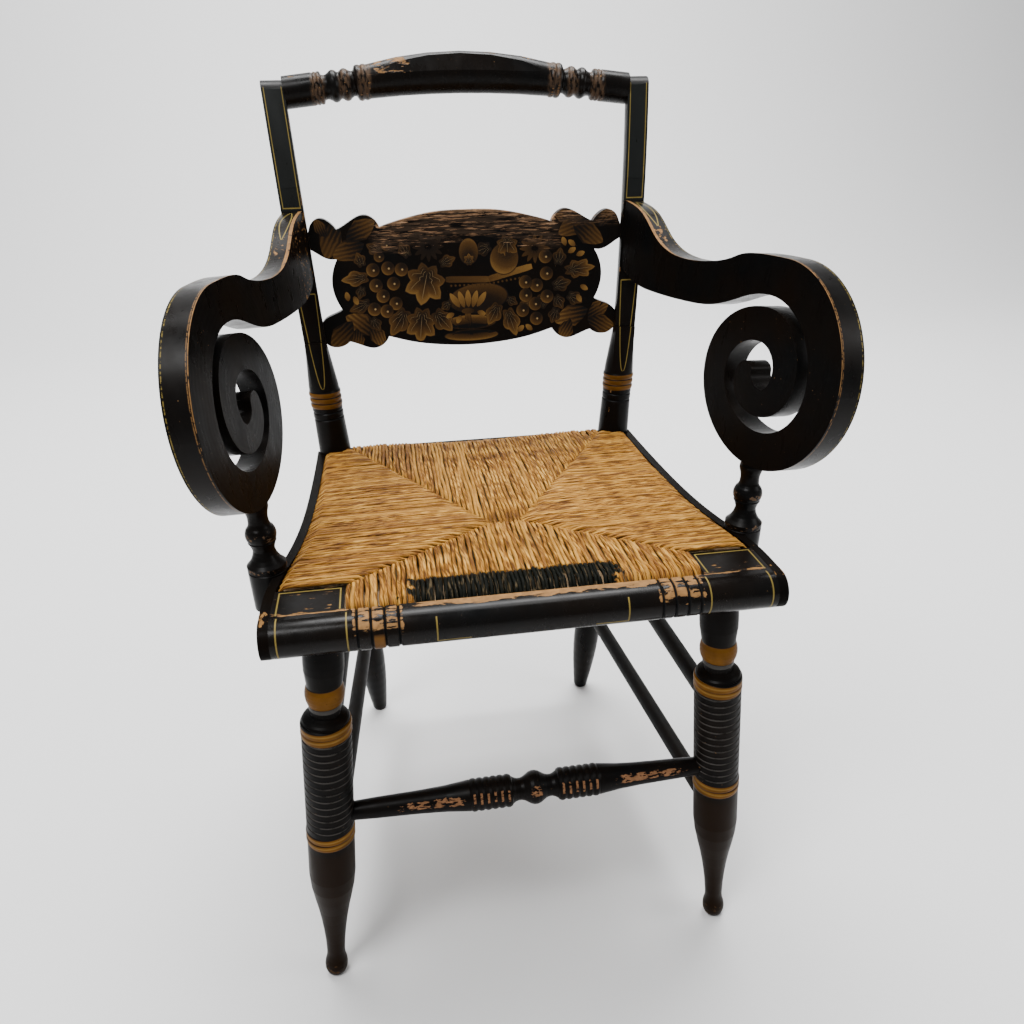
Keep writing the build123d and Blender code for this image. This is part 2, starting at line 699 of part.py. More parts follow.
def arm_outline():
    """The arm seen square to its side: an ogee from the post, then a volute of almost two turns."""
    tip = (-23.9, -1)
    outside = [(8.8, 90.5), (100.4, 0.5), (0.7, -scroll_drop), (-89.3, -19)]
    outside += [(-2.3, 49), (48.3, 1), (-2.3, -44), (-37.2, -20), tip]
    inside = [(-3.3, 59), (62.7, -4), (2.8, -56.2), (-53.4, -16)]
    inside += [(-8.4, 19.5), (16.4, -2), (2.8, -20), (-13.4, -8), tip]
    outer, top = scroll(outside, True)
    inner, under = scroll(inside, True)
    back_top = arm_back_top - scroll_height
    back_low = back_top - arm_back_depth
    r = scroll_reach
    heel = (0.25 * r, 27.0)
    crown = [(0, back_top), (0.147 * r, 101.5), (0.254 * r, 83), (0.475 * r, 69)]
    crown += [(0.745 * r, 79.5), top]
    belly = [heel, (0.555 * r, 30.5), (0.68 * r, 35), (0.814 * r, 47), under]
    upper = Spline(*crown, tangents=[(1, -0.12), (1, 0)])
    lower = Spline(*belly, tangents=[(1, 0), (1, 0)])
    corner = quarter((0, back_low), heel, False)
    back = Polyline((0, back_top), (-arm_saddle, back_top), (0, back_low))
    return make_face([back, upper, lower, corner, *outer, *inner])


def arm_blank():
    return extrude(arm_plane() * arm_outline(), arm_thickness / 2, both=True)


def arm_dowel(extra):
    """A peg that holds the arm's end on the face of the post."""
    height = arm_back_top - arm_back_depth / 2
    return peg(arm_point(22 + extra, height), arm_point(-13 - extra, height), peg_radius)


def arm_post_point(height):
    """A point on the axis of the arm post, which stands under the scroll and against the seat's side."""
    y = arm_point(arm_post_reach, arm_post_top)[1]
    edge_x = seat_plan(0, y, y + 1).bounding_box().max.X
    x = edge_x + arm_post_drum_radius - arm_post_lap
    return (x + (height - seat_height) * math.tan(math.radians(arm_post_lean)), y, height)


def arm_post_turning():
    """The baluster under the scroll: drop, drum, flared rim, bead, neck and collar."""
    drum, bead = arm_post_drum_radius, arm_post_bead_radius
    cuts = [("fair", 3, (11.4, 12.6)), ("to", 10, 13.0)]
    cuts += [("to", 1, drum), ("to", 36, drum), ("cove", 2, 0.8), ("to", 4, drum)]
    cuts += [("fair", 14, (11.6, 9.5)), ("fair", 8, (10.4, 12.2)), ("to", 1, bead - 1.6)]
    cuts += [("bead", 12, 1.6), ("fair", 7, (9.4, 8.8)), ("fair", 10, (8.9, 10.2)), ("bead", 7, 0.6)]
    used = sum(cut[1] for cut in cuts)
    foot, top = arm_post_point(arm_post_foot), arm_post_point(arm_post_top)
    cuts += [("to", distance(foot, top) - used, 10.2)]
    return along(foot, top, lathe(10.0, cuts))


def arm_post_tenon(extra):
    """The round tenon in the underside of the scroll, or its socket."""
    start, end = arm_post_point(arm_post_top - 5), arm_post_point(arm_post_top + 14 + extra)
    return peg(start, end, arm_post_tenon_radius)


def arm_post_peg():
    """The peg through the drum and the side strip into the side rail."""
    x, y, z = arm_post_point(rail_middle)
    outer = x + arm_post_drum_radius - 5
    return peg((outer - peg_length, y, z), (outer, y, z), peg_radius)


# ---------------------------------------------------------------- the whole chair
def build():
    """Every piece by its node's name."""
    post = back_post_blank()
    leg = front_leg()
    posts = post + mirrored(post)
    stretcher = front_stretcher()
    lower, upper = side_stretcher(lower_stretcher_height), side_stretcher(upper_stretcher_height)
    rear = rear_stretcher()
    crest, crest_tenon = crest_rail()
    slat = back_slat()
    strip = side_strip(post)
    rail = side_rail(post)
    back_rail, front_bar = rear_rail(posts), front_rail()
    corner = corner_block()
    roll = front_roll()
    pad = stuffing()

    tenon = arm_post_tenon(0)
    arm = arm_blank() - post - arm_post_tenon(socket_slack)
    dowel = arm_dowel(0)
    baluster = arm_post_turning()
    pin = arm_post_peg()
    seat_edge = slab(seat_plan(0, front_joint_y, post_y), frame_bottom, seat_height)
    baluster = (baluster - arm_blank() - seat_edge - rush_envelope()) + tenon
    baluster -= pin
    strip -= pin
    rail -= pin
    arm -= arm_dowel(socket_slack)
    rail -= rear_rail_tenons(0)

    leg = leg - stretcher - lower - upper
    crest = crest - posts + crest_tenon + mirrored(crest_tenon)
    post = post - crest - slat - lower - upper - rear - back_rail - side_rail_tenons(socket_slack)[1]
    post -= arm_dowel(socket_slack)

    rush = rush_envelope() - posts - front_bar - back_rail - pad
    rush = rush - rail - mirrored(rail) - pin - mirrored(pin)

    pairs = {
        "back_post": post,
        "front_leg": leg,
        "arm": arm,
        "arm_post": baluster,
        "arm_dowel": dowel,
        "arm_post_peg": pin,
        "lower_side_stretcher": lower,
        "upper_side_stretcher": upper,
        "corner_block": corner,
        "side_seat_rail": rail,
        "side_strip": strip,
    }
    pieces = {
        "crest_rail": crest,
        "back_slat": slat,
        "front_stretcher": stretcher,
        "rear_stretcher": rear,
        "front_seat_rail": front_bar,
        "rear_seat_rail": back_rail,
        "front_roll": roll,
        "rear_strip": rear_strip(posts),
        "rush_seat": rush,
        "seat_stuffing": pad,
    }
    for name, piece in pairs.items():
        pieces["right_" + name] = piece
        pieces["left_" + name] = mirrored(piece)
    return pieces


os.makedirs("parts", exist_ok=True)
for node, piece in build().items():
    piece.label = node
    export_step(piece, f"parts/{node}.step")
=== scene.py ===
"""Dresses a turned, black-painted fancy armchair: its worn paint and gilt, its stencils and its rush seat.

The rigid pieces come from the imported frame. The rush and the bronze stencils are modelled here.
"""

import logging
import math
import random
from dataclasses import dataclass, field
from enum import Enum
from typing import Callable, Iterable, Optional, Sequence, Union

import bmesh
import bpy
from mathutils import Matrix, Vector


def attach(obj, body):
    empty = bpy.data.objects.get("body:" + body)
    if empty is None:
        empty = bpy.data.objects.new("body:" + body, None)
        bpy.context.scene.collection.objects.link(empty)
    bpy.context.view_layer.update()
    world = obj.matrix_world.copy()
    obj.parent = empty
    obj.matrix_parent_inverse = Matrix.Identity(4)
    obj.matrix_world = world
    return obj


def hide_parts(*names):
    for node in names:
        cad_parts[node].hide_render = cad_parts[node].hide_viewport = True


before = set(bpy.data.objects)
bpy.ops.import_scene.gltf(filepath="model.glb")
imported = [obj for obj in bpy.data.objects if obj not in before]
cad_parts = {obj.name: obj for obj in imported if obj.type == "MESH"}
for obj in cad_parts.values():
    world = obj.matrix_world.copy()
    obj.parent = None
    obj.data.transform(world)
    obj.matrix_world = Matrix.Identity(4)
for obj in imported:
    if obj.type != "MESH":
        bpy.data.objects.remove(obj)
log = logging.getLogger("armchair")

Colour = tuple[float, float, float]
Place = tuple[float, float, float]
Pair = tuple[float, float]
Number = Union["Field", float]
MM = 0.001

BLACK: Colour = (0.0025, 0.0026, 0.0027)
WARM_BLACK: Colour = (0.0060, 0.0032, 0.0014)
# painted reflection: a grey sheen laid on the back posts' upper front faces
PAINTED_SHEEN_GREY: Colour = (0.0105, 0.0120, 0.0116)
BROWN_BLACK: Colour = (0.0095, 0.0042, 0.0012)
GILT: Colour = (0.20, 0.145, 0.035)
BRONZE: Colour = (0.125, 0.052, 0.0065)
PALE_BRONZE: Colour = (0.19, 0.10, 0.022)
BARE_WOOD: Colour = (0.165, 0.085, 0.030)
PALE_WOOD: Colour = (0.27, 0.150, 0.060)
DULL_WOOD: Colour = (0.085, 0.050, 0.028)
RED_WOOD: Colour = (0.15, 0.072, 0.034)
SLAT_WOOD: Colour = (0.26, 0.15, 0.08)
GREY_RUB: Colour = (0.060, 0.055, 0.050)
MAPLE: Colour = (0.40, 0.27, 0.15)
MAPLE_GRAIN: Colour = (0.30, 0.19, 0.10)
WEATHERED: Colour = (0.034, 0.022, 0.014)
TAN_STREAK: Colour = (0.19, 0.105, 0.055)
LEAF_VEIN: Colour = (0.20, 0.135, 0.060)
FRUIT_DOT: Colour = (0.30, 0.20, 0.085)
THIN_DUST: Colour = (0.017, 0.0085, 0.0030)
BRONZE_DUST: Colour = (0.068, 0.033, 0.0085)
THICK_DUST: Colour = (0.165, 0.088, 0.022)
RUSH: Colour = (0.185, 0.072, 0.0075)
RUSH_LIGHT: Colour = (0.38, 0.178, 0.026)
RUSH_STRAW: Colour = (0.50, 0.265, 0.052)
RUSH_SHADE: Colour = (0.065, 0.021, 0.003)
RUSH_DEEP: Colour = (0.045, 0.014, 0.002)
RUSH_DARK_STRAND: Colour = (0.12, 0.045, 0.009)
RUSH_PALE_STRAND: Colour = (0.40, 0.20, 0.035)
OLD_STAIN: Colour = (0.0030, 0.0033, 0.0022)
STAIN_RUBBED: Colour = (0.10, 0.070, 0.035)
STUFFING: Colour = (0.24, 0.165, 0.08)
STUFFING_SHADE: Colour = (0.14, 0.09, 0.04)
STUDIO_PALE: Colour = (0.66, 0.66, 0.66)


class Blend(Enum):
    """What a Mix node mixes: its data type, its first input and its output."""

    NUMBER = ("FLOAT", 2, 0)
    COLOUR = ("RGBA", 6, 2)


class Cut(Enum):
    """What a cut of the stencil shows; the number is kept on its faces."""

    GROUND = 0.0
    FRUIT = 1.0
    LEAF = 2.0
    RIBBED = 3.0
    BRIGHT = 4.0
    GLOBE = 5.0


# ---- drawing on a surface
class Field:
    """A number that varies over a surface, built up from shader nodes."""

    def __init__(self, tree: bpy.types.NodeTree, socket: bpy.types.NodeSocket) -> None:
        """Wraps the output, in a material's tree, that carries the number."""
        self.tree = tree
        self.socket = socket

    def _math(self, operation: str, *others: Number, clamp: bool = False) -> "Field":
        """Adds a Math node.

        Args:
            operation: the node's operation.
            others: the second and third inputs.
            clamp: whether the result is kept between 0 and 1.

        Returns:
            The node's result.
        """
        node = self.tree.nodes.new("ShaderNodeMath")
        node.operation = operation
        node.use_clamp = clamp
        for index, value in enumerate((self, *others)):
            if isinstance(value, Field):
                self.tree.links.new(value.socket, node.inputs[index])
            else:
                node.inputs[index].default_value = float(value)
        return Field(self.tree, node.outputs[0])

    def __add__(self, other: Number) -> "Field":
        """The sum."""
        return self._math("ADD", other)

    def __sub__(self, other: Number) -> "Field":
        """The difference."""
        return self._math("SUBTRACT", other)

    def __mul__(self, other: Number) -> "Field":
        """The product, which for two masks is where both hold."""
        return self._math("MULTIPLY", other)

    def __truediv__(self, other: Number) -> "Field":
        """The quotient."""
        return self._math("DIVIDE", other)

    def either(self, other: Number) -> "Field":
        """The larger of two, which for two masks is where either holds."""
        return self._math("MAXIMUM", other)

    def size(self) -> "Field":
        """The number without its sign."""
        return self._math("ABSOLUTE")

    def sine(self) -> "Field":
        """The sine of an angle in radians."""
        return self._math("SINE")

    def root(self) -> "Field":
        """The square root."""
        return self._math("SQRT")

    def power(self, exponent: float) -> "Field":
        """The number raised to a power."""
        return self._math("POWER", exponent)

    def angle_over(self, along: "Field") -> "Field":
        """The angle in radians of a place that lies this far up and so far along."""
        return self._math("ARCTAN2", along)

    def squared(self) -> "Field":
        """The square."""
        return self * self

    def inverse(self) -> "Field":
        """One minus the number: a mask turned round."""
        return (self * -1.0) + 1.0

    def above(self, edge: Number, soft: float = 0.15) -> "Field":
        """A mask of where the number is over an edge, fading this far on each side of it."""
        return (self - edge)._math("MULTIPLY_ADD", 0.5 / soft, 0.5, clamp=True)

    def below(self, edge: Number, soft: float = 0.15) -> "Field":
        """A mask of where the number is under an edge."""
        return (self - edge)._math("MULTIPLY_ADD", -0.5 / soft, 0.5, clamp=True)

    def between(self, low: Number, high: Number, soft: float = 0.15) -> "Field":
        """A mask of where the number lies between two."""
        return self.above(low, soft) * self.below(high, soft)

    def near(self, value: Number, half_width: Number, soft: float = 0.15) -> "Field":
        """A mask of a line or band about a value."""
        return (self - value).size().below(half_width, soft)


class Surface:
    """Places and directions on a piece, in millimetres of the chair's frame."""

    def __init__(self, tree: bpy.types.NodeTree) -> None:
        """Reads the piece's own coordinates, which are those of the chair.

        Args:
            tree: the material's tree.
        """
        self.tree = tree
        source = tree.nodes.new("ShaderNodeTexCoord")
        scaled = tree.nodes.new("ShaderNodeVectorMath")
        scaled.operation = "SCALE"
        scaled.inputs["Scale"].default_value = 1 / MM
        tree.links.new(source.outputs["Object"], scaled.inputs[0])
        self.place = scaled.outputs["Vector"]
        self.x, self.y, self.z = self._split(self.place)
        self.facing_x, self.facing_y, self.facing_z = self._split(source.outputs["Normal"])
        self.side = self.x.size()
        self.mirror = self.x.above(0.0, 0.01) * 2.0 - 1.0

    def _split(self, vector: bpy.types.NodeSocket) -> tuple[Field, Field, Field]:
        """Takes a vector apart.

        Args:
            vector: the output that carries it.

        Returns:
            Its three parts.
        """
        node = self.tree.nodes.new("ShaderNodeSeparateXYZ")
        self.tree.links.new(vector, node.inputs[0])
        return tuple(Field(self.tree, output) for output in node.outputs)

    def stored(self, name: str, output: str = "Vector") -> bpy.types.NodeSocket:
        """Reads what is stored on the mesh under a name, as a vector or as a number.

        Args:
            name: the attribute's name.
            output: "Vector" or "Fac".

        Returns:
            The output that carries it.
        """
        node = self.tree.nodes.new("ShaderNodeAttribute")
        node.attribute_name = name
        return node.outputs[output]

    def attribute(self, name: str) -> Field:
        """A number stored on the mesh."""
        return Field(self.tree, self.stored(name, "Fac"))

    def parts(self, name: str) -> tuple[Field, Field, Field]:
        """The three parts of a vector stored on the mesh."""
        return self._split(self.stored(name))

    def noise(self, size: Union[float, Place], detail: float = 4.0, rough: float = 0.55,
              shift: float = 0.0, of: Optional[bpy.types.NodeSocket] = None) -> Field:
        """Cloudy noise about one half.

        Args:
            size: the size of its features in millimetres, or one size for each axis.
            detail: how many finer layers it has.
            rough: how strong the finer layers are.
            shift: moves the noise, so that two layers differ.
            of: the vector it is made of, if not the place.

        Returns:
            The noise, mostly from 0.3 to 0.7.
        """
        sizes = size if isinstance(size, tuple) else (size, size, size)
        mapping = self.tree.nodes.new("ShaderNodeMapping")
        mapping.inputs["Scale"].default_value = [1 / s for s in sizes]
        mapping.inputs["Location"].default_value = (shift, shift * 0.7, shift * 0.4)
        node = self.tree.nodes.new("ShaderNodeTexNoise")
        node.inputs["Scale"].default_value = 1.0
        node.inputs["Detail"].default_value = detail
        node.inputs["Roughness"].default_value = rough
        self.tree.links.new(of or self.place, mapping.inputs["Vector"])
        self.tree.links.new(mapping.outputs[0], node.inputs["Vector"])
        return Field(self.tree, node.outputs["Fac"])

    def chips(self, amount: Number, size: Union[float, Place], shift: float = 0.0,
              soft: float = 0.012) -> Field:
        """Patches where paint is lost.

        Args:
            amount: how much is lost, from 0 for none to 1 for nearly all.
            size: the size of the patches in millimetres.
            shift: moves the patches.
            soft: how gradual their edges are.

        Returns:
            The mask of the patches.
        """
        none, reach = 0.82, 0.42
        noise = self.noise(size, 6.0, 0.62, shift)
        if isinstance(amount, Field):
            return (noise + amount * reach).above(none, soft)
        return noise.above(none - amount * reach, soft)


class Coat:
    """A piece's finish, laid on from the ground up."""

    def __init__(self, name: str, colour: Colour, roughness: float, gloss: float = 0.5) -> None:
        """Starts with one plain colour.

        Args:
            name: the material's name.
            colour: the ground's colour.
            roughness: the ground's roughness.
            gloss: the strength of its reflections.
        """
        self.material = bpy.data.materials.new(name)
        self.material.use_nodes = True
        self.tree = self.material.node_tree
        self.shader = self.tree.nodes["Principled BSDF"]
        self.shader.inputs["Base Color"].default_value = (*colour, 1.0)
        self.shader.inputs["Roughness"].default_value = roughness
        self.shader.inputs["Specular IOR Level"].default_value = gloss
        self.on = Surface(self.tree)

    def _mix(self, blend: Blend, target: str, mask: Field, over: Union[float, Colour]) -> None:
        """Lays a colour or a number over what a shader's input has so far.

        Args:
            blend: whether it is a colour or a number.
            target: the input's name.
            mask: where it is laid.
            over: what is laid.
        """
        kind, first, result = blend.value
        node = self.tree.nodes.new("ShaderNodeMix")
        node.data_type = kind
        low, high = node.inputs[first], node.inputs[first + 1]
        entry = self.shader.inputs[target]
        if entry.is_linked:
            self.tree.links.new(entry.links[0].from_socket, low)
        else:
            low.default_value = entry.default_value
        high.default_value = (*over, 1.0) if blend is Blend.COLOUR else over
        self.tree.links.new(mask.socket, node.inputs[0])
        self.tree.links.new(node.outputs[result], entry)

    def lay(self, mask: Field, colour: Optional[Colour] = None, roughness: Optional[float] = None,
            gloss: Optional[float] = None) -> "Coat":
        """Lays a colour, a roughness and a gloss, or any of them, where a mask holds.

        Args:
            mask: where it is laid.
            colour: the new colour, if it changes.
            roughness: the new roughness, if it changes.
            gloss: the new strength of its reflections, if it changes.

        Returns:
            The coat itself.
        """
        if gloss is not None:
            self._mix(Blend.NUMBER, "Specular IOR Level", mask, gloss)
        if colour is not None:
            self._mix(Blend.COLOUR, "Base Color", mask, colour)
        if roughness is not None:
            self._mix(Blend.NUMBER, "Roughness", mask, roughness)
        return self

    def relief(self, height: Field, depth: float) -> "Coat":
        """Gives the surface fine relief.

        Args:
            height: the relief, from 0 to 1.
            depth: its depth in millimetres.

        Returns:
            The coat itself.
        """
        bump = self.tree.nodes.new("ShaderNodeBump")
        bump.inputs["Strength"].default_value = 1.0
        bump.inputs["Distance"].default_value = depth * MM
        entry = self.shader.inputs["Normal"]
        if entry.is_linked:
            self.tree.links.new(entry.links[0].from_socket, bump.inputs["Normal"])
        self.tree.links.new(height.socket, bump.inputs["Height"])
        self.tree.links.new(bump.outputs[0], entry)
        return self


# ---- finishes
@dataclass(frozen=True)
class Wear:
    """How a piece has lost its paint.

    Attributes:
        amount: general loss, from 0 to 1.
        patch: size of the lost patches in millimetres, along each axis.
        shift: moves the patches, so that no two pieces match.
        wood: colour of the wood that shows.
    """

    amount: float = 0.0
    patch: Place = (9.0, 9.0, 9.0)
    shift: float = 0.0
    wood: Colour = BARE_WOOD


@dataclass(frozen=True)
class BlackPaint:
    """Old satin black paint, brushed on, a little dusty and rubbed through to the wood."""

    name: str
    roughness: float = 0.30
    wear: Wear = field(default_factory=Wear)
    gloss: float = 0.07

    def coat(self, worn_at: Optional[Callable[[Surface], Field]] = None) -> Coat:
        """Lays the paint and its wear.

        Args:
            worn_at: gives a mask, from 0 to 1, of where the piece is rubbed most.

        Returns:
            The coat, to be decorated further.
        """
        coat = Coat(self.name, BLACK, self.roughness, self.gloss)
        on = coat.on
        coat.lay(on.noise(60.0, 3.0).above(0.5, 0.2) * 0.6, WARM_BLACK)
        coat.lay(on.noise((14.0, 14.0, 40.0), 5.0, 0.6, 3.0).above(0.52, 0.16), roughness=self.roughness + 0.14)
        amount: Number = self.wear.amount
        if worn_at is not None:
            amount = worn_at(on) + self.wear.amount
        rubbed = on.chips(amount, self.wear.patch, self.wear.shift)
        bare = on.chips(amount, self.wear.patch, self.wear.shift + 0.02, 0.03)
        coat.lay(rubbed, self.wear.wood, 0.62)
        pale = tuple(part * 1.35 for part in self.wear.wood)
        coat.lay(rubbed * on.noise(5.0, 3.0, 0.5, 9.0).above(0.52, 0.1), pale)
        coat.relief(bare.inverse(), 0.12)
        dusty = on.noise(60.0, 2.0, 0.5, 5.0).above(0.56, 0.05)
        coat.lay(on.noise(1.6, 1.0, 0.4, 21.0).above(0.80, 0.02) * dusty * 0.7, PALE_WOOD, 0.6)
        coat.relief(on.noise((3.0, 3.0, 9.0), 3.0, 0.5, 2.0), 0.014)
        return coat


def gild(coat: Coat, mask: Field, colour: Colour = GILT, rubbed: float = 0.35) -> None:
    """Paints a gilt line or band that time has rubbed in places.

    Args:
        coat: the finish it is painted on.
        mask: where it is painted.
        colour: gilt or bronze.
        rubbed: how much of it is gone, from 0 to 1.
    """
    kept = coat.on.noise(2.4, 5.0, 0.6, 13.0).below(0.74 - rubbed * 0.28, 0.05)
    shade = coat.on.noise(18.0, 3.0, 0.5, 4.0).above(0.5, 0.2)
    darker = tuple(part * 0.62 for part in colour)
    coat.lay(mask * kept, colour, 0.42)
    coat.lay(mask * kept * shade, darker)


# ---- pieces that the frame brings
@dataclass
class Woodwork:
    """Base of the sub-assemblies whose solids come with the frame."""

    def node(self, name: str) -> bpy.types.Object:
        """A piece of the frame by name."""
        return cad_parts[name]

    def paint(self, names: Iterable[str], material: bpy.types.Material) -> None:
        """Gives pieces one material.

        Args:
            names: the pieces.
            material: their finish.
        """
        for name in names:
            Bench.cover(self.node(name), material)
            log.info("painted %s with %s", name, material.name)

    def both(self, *names: str) -> list[str]:
        """The names of left and right twins."""
        return [f"{side}_{name}" for name in names for side in ("left", "right")]


@dataclass
class BackPosts(Woodwork):
    """The two back posts, with gilt panels on their shaved faces and three gilt rings.

    Attributes:
        knee_x: the post's centre at seat height, in millimetres.
        knee_z: seat height.
        splay: sideways lean over height.
        panel_half: half width of the gilt panels.
        upper_panel: foot of the upper panel, which runs up to the crest.
        lower_panel: foot and head of the lower, pointed panel.
        rings: heights of the gilt rings.
        grooves: heights of the dark grooves under them.
        arm_joint: height of the arm's joint.
        sheen_from: where the painted sheen starts, a grey reflection laid on the upper front face.
    """

    knee_x: float = 172.0
    knee_z: float = 445.0
    splay: float = 0.0594
    panel_half: float = 9.0
    upper_panel: float = 719.5
    lower_panel: Pair = (526.0, 631.0)
    rings: tuple[float, ...] = (504.6, 511.2, 517.8)
    grooves: Pair = (488.5, 496.5)
    arm_joint: float = 690.0
    sheen_from: float = 716.0

    def across(self, on: Surface) -> Field:
        """Distance from the post's centre line, seen from the front."""
        return on.side - ((on.z - self.knee_z) * self.splay + self.knee_x)

    def shaved(self, on: Surface) -> Field:
        """The flat front face."""
        return on.facing_y.below(-0.8, 0.05)

    def panel_lines(self, on: Surface) -> Field:
        """The thin gilt lines on the shaved face.

        Args:
            on: the post's surface.

        Returns:
            Their mask.
        """
        across = self.across(on).size()
        upper = across.near(self.panel_half, 0.42) * on.z.above(self.upper_panel - 0.6)
        foot = on.z.near(self.upper_panel, 0.6) * across.below(self.panel_half)
        low, high = self.lower_panel
        rise = ((on.z - low) / (high - low)).either(0.0001)
        width = rise.power(0.42) * self.panel_half
        lower = across.near(width, 0.45) * on.z.between(low, high)
        head = on.z.near(high, 0.6) * across.below(self.panel_half)
        return upper.either(foot).either(lower).either(head) * self.shaved(on)

    def dress(self) -> None:
        """Paints both posts."""
        def worn(on: Surface) -> Field:
            """Rubbed at the arms' joints and along the inner front corner.

            Args:
                on: the surface.

            Returns:
                The mask.
            """
            at_arm = on.z.near(self.arm_joint, 38.0, 24.0) * on.mirror.below(0.0) * on.facing_x.above(0.3, 0.2)
            corner = self.across(on).near(-11.3, 1.0, 0.6) * 0.50
            return (at_arm * 0.45).either(corner * on.noise(40.0, 2.0, 0.5, 6.0).above(0.5, 0.1))

        coat = BlackPaint("posts_black", 0.27, Wear(0.08, (5.0, 5.0, 12.0), 1.0)).coat(worn)
        on = coat.on
        # Painted reflection: a grey sheen, with more gloss, laid on the upper shaved front faces.
        coat.lay(self.shaved(on) * on.z.above(self.sheen_from, 2.0) * 0.7, PAINTED_SHEEN_GREY, gloss=0.12)
        gild(coat, self.panel_lines(on), GILT, 0.2)
        for height in self.rings:
            gild(coat, on.z.near(height, 2.6, 0.4), BRONZE, 0.2)
            coat.lay(on.z.near(height + 3.3, 0.45, 0.3), BLACK)
        low, high = self.grooves
        coat.lay(on.z.near(low, 1.0, 0.6).either(on.z.near(high, 1.0, 0.6)), BLACK, 0.5)
        self.paint(self.both("back_post"), coat.material)


@dataclass
class FrontLegs(Woodwork):
    """The two ringed front legs, with bronze bands.

    Attributes:
        foot_x: the leg's axis at the floor, in millimetres.
        lean: how far the axis leans in over height.
        centre_y: the axis in depth.
        radius: the grooved drum's radius.
        neck: the grey fillet under the collar.
        collar: the broad bronze band.
        drum: foot and head of the grooved drum.
        bands: heights of the narrow bronze bands.
        brown_to: top of the browned taper below.
    """

    foot_x: float = 206.5
    lean: float = -0.0777
    centre_y: float = -193.7
    radius: float = 22.2
    neck: Pair = (341.0, 346.0)
    collar: Pair = (347.0, 365.4)
    drum: Pair = (204.4, 312.6)
    bands: tuple[float, ...] = (193.2, 200.7, 316.1, 323.0)
    brown_to: float = 186.0

    def radial(self, on: Surface) -> Field:
        """Distance from the leg's axis."""
        sideways = on.side - (on.z * self.lean + self.foot_x)
        return (sideways.squared() + (on.y - self.centre_y).squared()).root()

    def dress(self) -> None:
        """Paints both legs."""
        def worn(on: Surface) -> Field:
            """A few specks on the grooved drum, and more on the foot's ball.

            Args:
                on: the surface.

            Returns:
                The mask.
            """
            patch = on.noise(38.0, 2.0, 0.5, 31.0).above(0.56, 0.05) * on.z.between(*self.drum, 3.0)
            ball = on.z.below(20.0, 6.0) * 0.52
            return (patch * 0.26).either(ball)

        coat = BlackPaint("legs_black", 0.33, Wear(0.05, (5.0, 5.0, 3.0), 2.0), 0.04).coat(worn)
        on = coat.on
        sunk = self.radial(on).below(self.radius - 0.35, 0.25) * on.z.between(*self.drum, 1.0)
        coat.lay(sunk * on.noise(16.0, 4.0, 0.6, 8.0).above(0.40, 0.10), GREY_RUB, 0.55)
        coat.lay(on.z.between(*self.neck, 0.5) * 0.7, GREY_RUB, 0.4)
        coat.lay(on.z.below(self.brown_to, 6.0) * 0.8, BROWN_BLACK)
        gild(coat, on.z.between(*self.collar, 0.5), BRONZE, 0.05)
        for height in self.bands:
            gild(coat, on.z.near(height, 3.1, 0.4), BRONZE, 0.1)
            gild(coat, on.z.near(height + 1.0, 0.7, 0.5), PALE_BRONZE, 0.25)
        self.paint(self.both("front_leg"), coat.material)


@dataclass
class Stretchers(Woodwork):
    """The turned front stretcher and the plain ones.

    Attributes:
        centre_x: the middle of the front stretcher's ball, in millimetres.
        rings: how far from it the rings start and end.
    """

    centre_x: float = 5.0
    rings: Pair = (23.0, 62.6)

    def dress(self) -> None:
        """Paints them all."""
        def worn(on: Surface) -> Field:
            """Rubbed through by heels, in front.

            Args:
                on: the surface.

            Returns:
                The mask.
            """
            along = (on.x - self.centre_x).size()
            front = on.facing_y.below(-0.62, 0.14) * on.facing_z.between(0.02, 0.80, 0.14)
            rings = along.between(*self.rings, 1.0) * on.facing_x.size().below(0.3, 0.15) * 0.82
            ball = along.below(6.0, 1.5) * 0.66
            left = on.x.between(-128.0, -58.0, 12.0) * 0.68
            right = on.x.between(80.0, 158.0, 12.0) * 0.74
            return left.either(right).either(rings).either(ball) * front

        wear = Wear(0.06, (7.0, 3.4, 2.4), 5.0, RED_WOOD)
        coat = BlackPaint("front_stretcher_black", 0.30, wear, 0.05).coat(worn)
        self.paint(["front_stretcher"], coat.material)
        plain = BlackPaint("stretchers_black", 0.42, Wear(0.10, (5.0, 14.0, 5.0), 7.0)).coat()
        self.paint(["rear_stretcher"], plain.material)
        self.paint(self.both("upper_side_stretcher", "lower_side_stretcher"), plain.material)


@dataclass
class CrestRail(Woodwork):
    """The crest rail, rubbed at its rings and along its top.

    Attributes:
        rings: where each group of rings starts and ends, from the middle outwards.
    """

    rings: tuple[Pair, ...] = ((94.0, 107.0), (116.0, 127.0), (142.0, 156.0))

    def dress(self) -> None:
        """Paints it."""
        def worn(on: Surface) -> Field:
            """Rubbed at the rings and, in streaks, left of the middle.

            Args:
                on: the surface.

            Returns:
                The mask.
            """
            inner, bulb, outer = (on.side.between(low, high, 1.5) for low, high in self.rings)
            rings = inner.either(bulb).either(outer)
            ridge = on.facing_x.size().below(0.4, 0.3)
            streaks = on.x.between(-96.0, -52.0, 8.0) * on.z.above(843.0, 6.0) * 0.64
            top = on.facing_z.above(0.75, 0.15) * 0.4
            return (rings * ridge * 0.44).either(streaks).either(top)

        coat = BlackPaint("crest_black", 0.22, Wear(0.08, (16.0, 4.0, 3.2), 11.0), 0.09).coat(worn)
        on = coat.on
        for low, high in self.rings:
            patchy = on.noise((3.0, 8.0, 8.0), 4.0, 0.6, 14.0).above(0.47, 0.06)
            coat.lay(on.side.between(low, high, 1.5) * patchy * 0.6, DULL_WOOD, 0.5)
        self.paint(["crest_rail"], coat.material)


